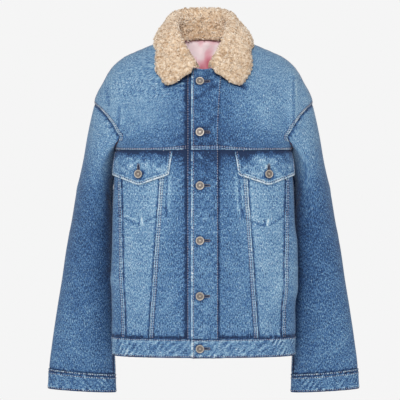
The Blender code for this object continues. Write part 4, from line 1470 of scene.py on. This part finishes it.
class JACKET_OT_collar(bpy.types.Operator):
    """Makes the sherpa collar with its curls, over its denim under collar"""

    bl_idname = "jacket.collar"
    bl_label = "Sherpa collar"

    def execute(self, context):
        self.pile(context.scene.jacket_sizes.curl / MM)
        self.under_collar()
        return {"FINISHED"}

    def pile(self, curl_width):
        backing = collar_backing(300)
        out = grid_out(backing)
        away = distances(backing)
        near = np.min((away["low"] + 3, away["high"], away["start"], away["end"]), axis=0)
        dome = np.sqrt(np.clip(1 - (1 - np.clip(near / PILE_ROUND, 0, 1)) ** 2, 0, 1))
        clumps, curls = lumps(backing, 11.0, 3.0), lumps(backing, 4.2, 9.0)
        base = UNDER_COLLAR / 2 + 0.2
        even = base + (PILE - PILE_ROOM - base) * dome
        height = even + (1.6 * clumps + 0.6 * curls) * dome
        edge = backing.copy()
        for last, next_in, reach in (
            (np.s_[:, 0], np.s_[:, 3], PILE_REACH),
            (np.s_[:, -1], np.s_[:, -4], PILE_REACH),
            (np.s_[-1], np.s_[-4], PILE_REACH),
            (np.s_[0], np.s_[3], PILE_REACH_NECK),
        ):
            edge[last] += unit(edge[last] - edge[next_in]) * reach
        points = edge + out * height[..., None]
        # Painted light and shade: the pile is paler where its clumps and curls stand out, and darker between
        # them.
        depth = 0.31 + 0.12 * clumps + 0.55 * curls
        # Inside the neck, down to the neck seam, the pile lies in shade.
        depth = depth - 0.13 * rise(-away["low"], -34.0, -14.0)
        pile = laid_grid("collar_pile", points, {"depth": depth}, out)
        pile.data.materials.append(use("sherpa"))
        apply_modifier(pile, "SOLIDIFY", thickness=0.6 * MM, offset=-1.0)
        bpy.ops.object.shade_smooth()
        settle(pile, "sherpa_cream", ("collar_sherpa",))
        # The sheet is the pile's face, so its cut is measured on that.
        flat, area = cut_size(edge + out * even[..., None])
        curl = self.curls(points, depth, curl_width)
        settle(curl, "sherpa_cream")

    def under_collar(self):
        """The denim below the pile, which stops short of the pile's front ends."""
        backing = collar_backing(130)[:, 3:-3]
        wrong = -grid_out(backing)
        under = backing + wrong * 0.5
        rows_in, columns_in = under.shape[0] - 1, under.shape[1] - 1
        # The pile is turned in round the front ends of the stand.
        turned = np.zeros((rows_in, columns_in), int)
        stand = slice(0, rows_in * 9 // 20)
        turned[stand, :TURNED_IN] = turned[stand, -TURNED_IN:] = 1
        looks = {"fade": np.full(under.shape[:2], 0.45), "depth": np.full(under.shape[:2], 0.25)}
        cloth(
            "under_collar", under, backing, wrong, looks, 0.9, ("denim", "sherpa"), "denim_mid",
            held="folded", turned=turned,
        )

    def curls(self, points, depth, width):
        """Small loops of pile scattered evenly over the collar."""
        deselect()
        bpy.ops.mesh.primitive_torus_add(
            major_segments=6, minor_segments=3, major_radius=0.36 * width * MM, minor_radius=0.17 * width * MM
        )
        model = bpy.context.object
        model.data.transform(ON_EDGE)
        dice = np.random.default_rng(CURL_SEED)
        a, b = points[:-1, 1:] - points[:-1, :-1], points[1:, :-1] - points[:-1, :-1]
        square = np.cross(b, a)
        size = np.linalg.norm(square, axis=-1)
        cells = dice.choice(size.size, CURL_COUNT, p=(size / size.sum()).ravel())
        cell = np.unravel_index(cells, size.shape)
        shift = dice.random((CURL_COUNT, 2))
        origin = points[cell] + a[cell] * shift[:, :1] + b[cell] * shift[:, 1:]
        out = unit(square[cell] + 0.6 * size[cell][:, None] * dice.normal(size=(CURL_COUNT, 3)) * 0.6)
        side = unit(np.cross(out, dice.normal(size=(CURL_COUNT, 3))))
        axes = np.stack((side, np.cross(out, side), out), axis=1)
        tones = depth[cell] + 0.16 + 0.28 * dice.normal(size=CURL_COUNT)
        sizes = dice.uniform(0.75, 1.25, CURL_COUNT)
        piece = repeat("collar_curls", model, origin + out * 0.7, axes, sizes, tones)
        piece.data.materials.append(use("sherpa"))
        return piece


# Puffs down the satin, where it has more length than the cloth it hangs on.
PUFFS = table(
    "x slant width height",
    (8, 0.5, 9, 2.6),
    (-22, -0.6, 8, 2.2),
    (34, 0.2, 7, 2.0),
)


class JACKET_OT_lining(bpy.types.Operator):
    """Lays the satin lining inside the back of the neck"""

    bl_idname = "jacket.lining"
    bl_label = "Satin at the neck"

    def execute(self, context):
        grid = patch(u=np.linspace(0, 1, 105), v=np.linspace(0, 1, 79), **back_yoke_lines())
        # The part of the back yoke that is seen through the neck.
        angle, level = np.moveaxis(grid[39:, 11:-11], -1, 0)
        plain, out = body(angle, level), body_out(angle, level)
        x, down = plain[..., 0], NECK - level
        puffs = 0.8 * np.sin(x / 9.0 + level / 14.0)
        for puff in rows(PUFFS):
            middle = puff.x - puff.slant * down
            puffs = puffs + puff.height * np.exp(-(((x - middle) / puff.width) ** 2))
        puffs = puffs * rise(down, 1.0, 9.0)
        points = plain - out * (CLOTH + LAYER_GAP + 0.5 + np.maximum(puffs, 0.0))[..., None]
        # Painted light and shade: bright on the puffs and towards the wearer's right, and deep lower down in
        # the neck.
        fade = 0.25 + 0.33 * np.clip(puffs, -1, 3) - 1.30 * rise(down, 20.0, 46.0) + 0.42 * rise(-x, 0, 30)
        cloth("lining_back_neck", points, plain, -out, {"fade": fade}, 0.4, ("satin",), "satin_pink")
        return {"FINISHED"}


# ---------------------------------------------------------------- buttons, buttonholes and stitches

BUTTON_PROFILE = table(
    "radius height",
    (0, 1.9),
    (1.6, 1.95),
    (2.6, 1.7),
    (3.0, 1.2),
    (5.2, 1.25),
    (5.6, 1.7),
    (6.2, 2.7),
    (7.0, 3.1),
    (7.8, 3.0),
    (8.35, 2.5),
    (8.5, 1.7),
    (8.2, 0.9),
    (6.8, 0.25),
    (0, 0.1),
)

BUTTON_WIDTH = 17.0
BUTTON_STAND = 0.25  # how far a button stands off the cloth
BUTTON_TURNS = 40
RIM_RADIUS = 6.0
DIMPLE_RADIUS = 1.4
KNURLS, KNURL_RADIUS, KNURL_HEIGHT = 20, 3.2, 0.12
HOLE_START, HOLE_LENGTH, HOLE_HALF = 4.0, 15.0, 2.1  # a buttonhole's worked edges, from the button's middle
# The dark lenses of a buttonhole's slot and of a needle's hole are painted shade.
SLOT_SIZE = (16.0, 3.4)  # drawn wide, so that it shows
CORD_STITCH = (1.9, 0.8)
NEEDLE_HOLE = (2.9, 2.6)


def place_frame(angle, level, lift):
    """Where a button or buttonhole sits on the cloth: its middle and its across, up and out directions."""
    out = body_out(angle, level)
    middle = body(angle, level) + out * lift
    across = unit(np.cross((0, 0, 1.0), -out) * -1)
    return middle, np.array((across, np.cross(out, across), out))


def button_places():
    """Each button's name, place on the body, height off it and the way its buttonhole runs."""
    places = []
    for i, level in enumerate(BUTTON_LEVELS):
        lift = CLOTH + 2 * LAYER_GAP if level > BAND_TOP else BAND + 2 * LAYER_GAP
        places.append((f"button_front_{i + 1}", BUTTON_X, level, lift, "across"))
    for side in SIDES:
        lift = CLOTH + FLAP_GAP + FLAP_FLARE
        places.append((f"button_flap_{side_name(side)}", side * FLAP_BUTTON_X, FLAP_BUTTON_LEVEL, lift, "up"))
    return [(name, float(angle_at(level, x)), level, lift, way) for name, x, level, lift, way in places]


class JACKET_OT_buttons(bpy.types.Operator):
    """Turns the dished metal buttons and sets them on the placket and flaps"""

    bl_idname = "jacket.buttons"
    bl_label = "Buttons"

    def execute(self, context):
        unit_size = context.scene.jacket_sizes.button / BUTTON_WIDTH
        for name, angle, level, lift, _ in button_places():
            middle, axes = place_frame(angle, level, lift + BUTTON_STAND)
            piece = self.turned(name, unit_size)
            mesh = piece.data
            mesh.materials.append(use("copper"))
            mesh.materials.append(use("nickel"))
            for face in mesh.polygons:
                radius = math.hypot(face.center.x, face.center.y) / unit_size
                face.material_index = int(radius > RIM_RADIUS or radius < DIMPLE_RADIUS)
            # Fine knurls round the inside of the rim.
            for vert in mesh.vertices:
                radius = math.hypot(vert.co.x, vert.co.y) / unit_size
                if KNURL_RADIUS < radius < RIM_RADIUS and vert.co.z > 0.8 * unit_size:
                    vert.co.z += KNURL_HEIGHT * MM * math.cos(KNURLS * math.atan2(vert.co.y, vert.co.x))
            placed = np.array([v.co for v in mesh.vertices]) @ axes + middle * MM
            mesh.vertices.foreach_set("co", placed.ravel())
            mesh.update()
            bpy.ops.object.shade_smooth_by_angle(angle=math.radians(35))
            settle(piece, "aged_nickel", (name,))
        return {"FINISHED"}

    def turned(self, name, unit_size):
        """A button turned from its profile, at the origin."""
        deselect()
        profile = bpy.data.meshes.new(name)
        points = [(knot.radius * unit_size, 0, knot.height * unit_size) for knot in rows(BUTTON_PROFILE)]
        profile.from_pydata(points, [(i, i + 1) for i in range(len(points) - 1)], [])
        piece = bpy.data.objects.new(name + "_turned", profile)
        bpy.context.scene.collection.objects.link(piece)
        apply_modifier(
            piece, "SCREW", steps=BUTTON_TURNS, render_steps=BUTTON_TURNS, use_merge_vertices=True,
            merge_threshold=WELD, use_normal_calculate=True,
        )
        edit_all(piece, bpy.ops.mesh.normals_make_consistent, inside=False)
        return piece


class JACKET_OT_buttonholes(bpy.types.Operator):
    """Works a corded buttonhole beside each button"""

    bl_idname = "jacket.buttonholes"
    bl_label = "Buttonholes"

    def execute(self, context):
        cords, cord_axes, slots, slot_axes = [], [], [], []
        for _, angle, level, lift, way in button_places():
            middle, frame_axes = place_frame(angle, level, lift)
            run, wide, out = frame_axes if way == "across" else frame_axes[[1, 0, 2]]
            slots.append(middle + run * 11.0 + out * 0.05)
            slot_axes.append((run, np.cross(out, run), out))
            for k in np.linspace(0, 1, 17):
                for edge in (-HOLE_HALF, HOLE_HALF):
                    cords.append(middle + run * (HOLE_START + HOLE_LENGTH * k) + wide * edge + out * 0.05)
                    cord_axes.append((wide, np.cross(out, wide), out))
            for edge in np.linspace(-1.8, 1.8, 6):
                cords.append(middle + run * (HOLE_START + HOLE_LENGTH + 1.0) + wide * edge + out * 0.1)
                cord_axes.append((run, np.cross(out, run), out))
        lay_copies("buttonholes", stitch_model(*CORD_STITCH), cords, cord_axes, "dull_thread")
        # Painted shade: a dark lens in each buttonhole's slot.
        lay_copies("buttonhole_slot_shade", hole_model(*SLOT_SIZE), slots, slot_axes, "shadow_thread")
        return {"FINISHED"}


def lay_copies(name, model, places, axes, material):
    piece = repeat(name, model, np.array(places), np.array(axes))
    piece.data.materials.append(use(material))
    settle(piece, "denim_light")


def stitch_model(length, thickness):
    """One stitch lying along X."""
    deselect()
    bpy.ops.mesh.primitive_uv_sphere_add(segments=4, ring_count=3, radius=1.0)
    model = bpy.context.object
    half, thin = length * MM / 2, thickness * MM / 2
    model.data.transform(Matrix(((0, 0, half, 0), (0, thin, 0, 0), (-thin, 0, 0, 0), (0, 0, 0, 1))))
    return model


def hole_model(length, width):
    """A small dark lens lying flat, painted shade for a needle's hole or a buttonhole's slot."""
    deselect()
    bpy.ops.mesh.primitive_cone_add(vertices=5, radius1=0.5, radius2=0.0, depth=1.0, location=(0, 0, 0.5))
    model = bpy.context.object
    bpy.ops.object.transform_apply(location=True)
    model.data.transform(Matrix.Diagonal((length * MM, width * MM, 0.25 * MM, 1.0)))
    return model


class JACKET_OT_stitching(bpy.types.Operator):
    """Sews the rows of topstitching along the seams"""

    bl_idname = "jacket.stitching"
    bl_label = "Topstitching"

    def execute(self, context):
        sizes = context.scene.jacket_sizes
        pitch = sizes.stitch_pitch / MM
        stitch = stitch_model(sizes.stitch / MM, sizes.thread / MM)
        self.sew("topstitching", stitch, pitch, pitch / 2, 0.18, "thread")
        # Painted shade: dark lenses for the needle's holes between the stitches, where the thread dives and
        # the cloth is pulled in.
        self.sew("needle_hole_shade", hole_model(*NEEDLE_HOLE), pitch, 0.0, 0.02, "shadow_thread")
        return {"FINISHED"}

    def sew(self, name, model, pitch, first, lift, material):
        """Copies of a small model along every row of stitches, a pitch apart."""
        origins, axes = [], []
        for run in STITCHES:
            if len(run) < 3:
                continue
            steps = np.linalg.norm(np.diff(run[:, :3], axis=0), axis=-1)
            way = np.concatenate(([0.0], np.cumsum(steps)))
            at = np.arange(first, way[-1], pitch)
            before, here, after = (
                np.stack([np.interp(at + ahead, way, run[:, k]) for k in range(6)], axis=-1)
                for ahead in (-1, 0, 1)
            )
            out = unit(here[:, 3:])
            side = unit(np.cross(out, after[:, :3] - before[:, :3]))
            origins.append(here[:, :3] + out * lift)
            axes.append(np.stack((np.cross(side, out), side, out), axis=1))
        lay_copies(name, model, np.concatenate(origins), np.concatenate(axes), material)


# ---------------------------------------------------------------- studio

LAMP_AIM = (0, 0, -0.33)
LAMPS = (  # name, place, width in metres, watts
    ("front", (-0.55, -3.8, 1.2), 1.1, 84.0),
    ("back", (0.6, 3.8, 1.2), 1.1, 45.0),
    ("left", (-3.2, -1.6, 0.8), 1.4, 12.0),
    ("right", (3.0, -1.4, 0.4), 1.4, 11.0),
)
NECK_LAMP_PLACE = (-0.10, -1.5, 0.50)
NECK_LAMP_AIM = (0, 0.06, -0.02)
CAMERA_PLACE = (-0.00735, -3.0, -0.336)
CAMERA_LENS = 128.57
FLOOR_RADIUS = 9.0
FLOOR_HEIGHT = -3.5
ROOM_LIGHT, ROOM_LIGHT_STRENGTH = "#f1f1f1", 0.535
ROOM_SEEN = "#f5f5f5"


class JACKET_OT_studio(bpy.types.Operator):
    """Sets the pale floor, the soft lights and the level camera"""

    bl_idname = "jacket.studio"
    bl_label = "Studio"

    def execute(self, context):
        scene = context.scene
        scene.view_settings.view_transform = "Standard"
        self.room(scene)
        self.floor()
        self.neck_lamp()
        for name, place, size, watts in LAMPS:
            light = bpy.data.lights.new(name, "AREA")
            light.size = size
            light.energy = watts
            self.hang(light, place, LAMP_AIM)
        camera = bpy.data.cameras.new("level_camera")
        camera.lens = CAMERA_LENS
        camera.sensor_width = 36.0
        camera.clip_end = 50.0
        holder = bpy.data.objects.new("level_camera", camera)
        scene.collection.objects.link(holder)
        holder.location = CAMERA_PLACE
        holder.rotation_euler = (math.radians(90), 0, 0)
        scene.camera = holder
        return {"FINISHED"}

    def room(self, scene):
        """Pale walls, brighter to the eye than the light that they give."""
        world = bpy.data.worlds.new("pale_room")
        scene.world = world
        world.use_nodes = True
        tree = world.node_tree
        glow = tree.nodes["Background"]
        glow.inputs["Color"].default_value = srgb(ROOM_LIGHT)
        glow.inputs["Strength"].default_value = ROOM_LIGHT_STRENGTH
        wall = add_node(tree, "ShaderNodeBackground", values={"Color": srgb(ROOM_SEEN), "Strength": 1.0})
        seen = add_node(tree, "ShaderNodeLightPath").outputs["Is Camera Ray"]
        links = {"Fac": seen, 1: glow.outputs["Background"], 2: wall.outputs["Background"]}
        both = add_node(tree, "ShaderNodeMixShader", links=links)
        tree.links.new(both.outputs["Shader"], tree.nodes["World Output"].inputs["Surface"])

    def floor(self):
        """A round pale floor, low enough that the jacket is seen from underneath too."""
        deselect()
        bpy.ops.mesh.primitive_circle_add(
            vertices=96, radius=FLOOR_RADIUS, fill_type="NGON", location=(0, 0, FLOOR_HEIGHT)
        )
        sheet = bpy.context.object
        sheet.name = "floor"
        paint = plain_material("floor_paint", srgb("#fbfbfb"), 0.95, spread=0.003, scale=2.0)
        shader = paint.node_tree.nodes["Principled BSDF"]
        shader.inputs["Emission Color"].default_value = srgb("#ffffff")
        shader.inputs["Emission Strength"].default_value = 0.25
        sheet.data.materials.append(paint)

    def neck_lamp(self):
        """A weak spot that reaches the satin past the collar."""
        light = bpy.data.lights.new("neck", "SPOT")
        light.energy = 30.0
        light.spot_size = math.radians(9)
        light.spot_blend = 1.0
        light.shadow_soft_size = 0.05
        self.hang(light, NECK_LAMP_PLACE, NECK_LAMP_AIM)

    def hang(self, light, place, target):
        holder = bpy.data.objects.new(light.name, light)
        bpy.context.scene.collection.objects.link(holder)
        holder.location = place
        holder.rotation_euler = (Vector(target) - Vector(place)).to_track_quat("-Z", "Y").to_euler()


OPERATORS = (
    JACKET_OT_body,
    JACKET_OT_front_opening,
    JACKET_OT_pocket_flaps,
    JACKET_OT_sleeves,
    JACKET_OT_collar,
    JACKET_OT_lining,
    JACKET_OT_buttons,
    JACKET_OT_buttonholes,
    JACKET_OT_stitching,
    JACKET_OT_studio,
)


class JACKET_PT_panel(bpy.types.Panel):
    """Lists the jacket's steps, colours and sizes"""

    bl_idname = "JACKET_PT_panel"
    bl_label = "Sherpa Collar Jacket"
    bl_space_type = "VIEW_3D"
    bl_region_type = "UI"
    bl_category = "Jacket"

    def draw(self, context):
        for group in (context.scene.jacket_colours, context.scene.jacket_sizes):
            for name in group.__annotations__:
                self.layout.prop(group, name)
        for operator in OPERATORS:
            self.layout.operator(operator.bl_idname)


CLASSES = (JacketColours, JacketSizes) + OPERATORS + (JACKET_PT_panel,)


def register():
    for made in CLASSES:
        bpy.utils.register_class(made)
    bpy.types.Scene.jacket_colours = bpy.props.PointerProperty(type=JacketColours)
    bpy.types.Scene.jacket_sizes = bpy.props.PointerProperty(type=JacketSizes)


def unregister():
    del bpy.types.Scene.jacket_sizes
    del bpy.types.Scene.jacket_colours
    for made in reversed(CLASSES):
        bpy.utils.unregister_class(made)


def main():
    """Makes every piece in order."""
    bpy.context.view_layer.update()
    register()
    for operator in OPERATORS:
        group, name = operator.bl_idname.split(".")
        getattr(getattr(bpy.ops, group), name)()


if __name__ == "__main__":
    main()
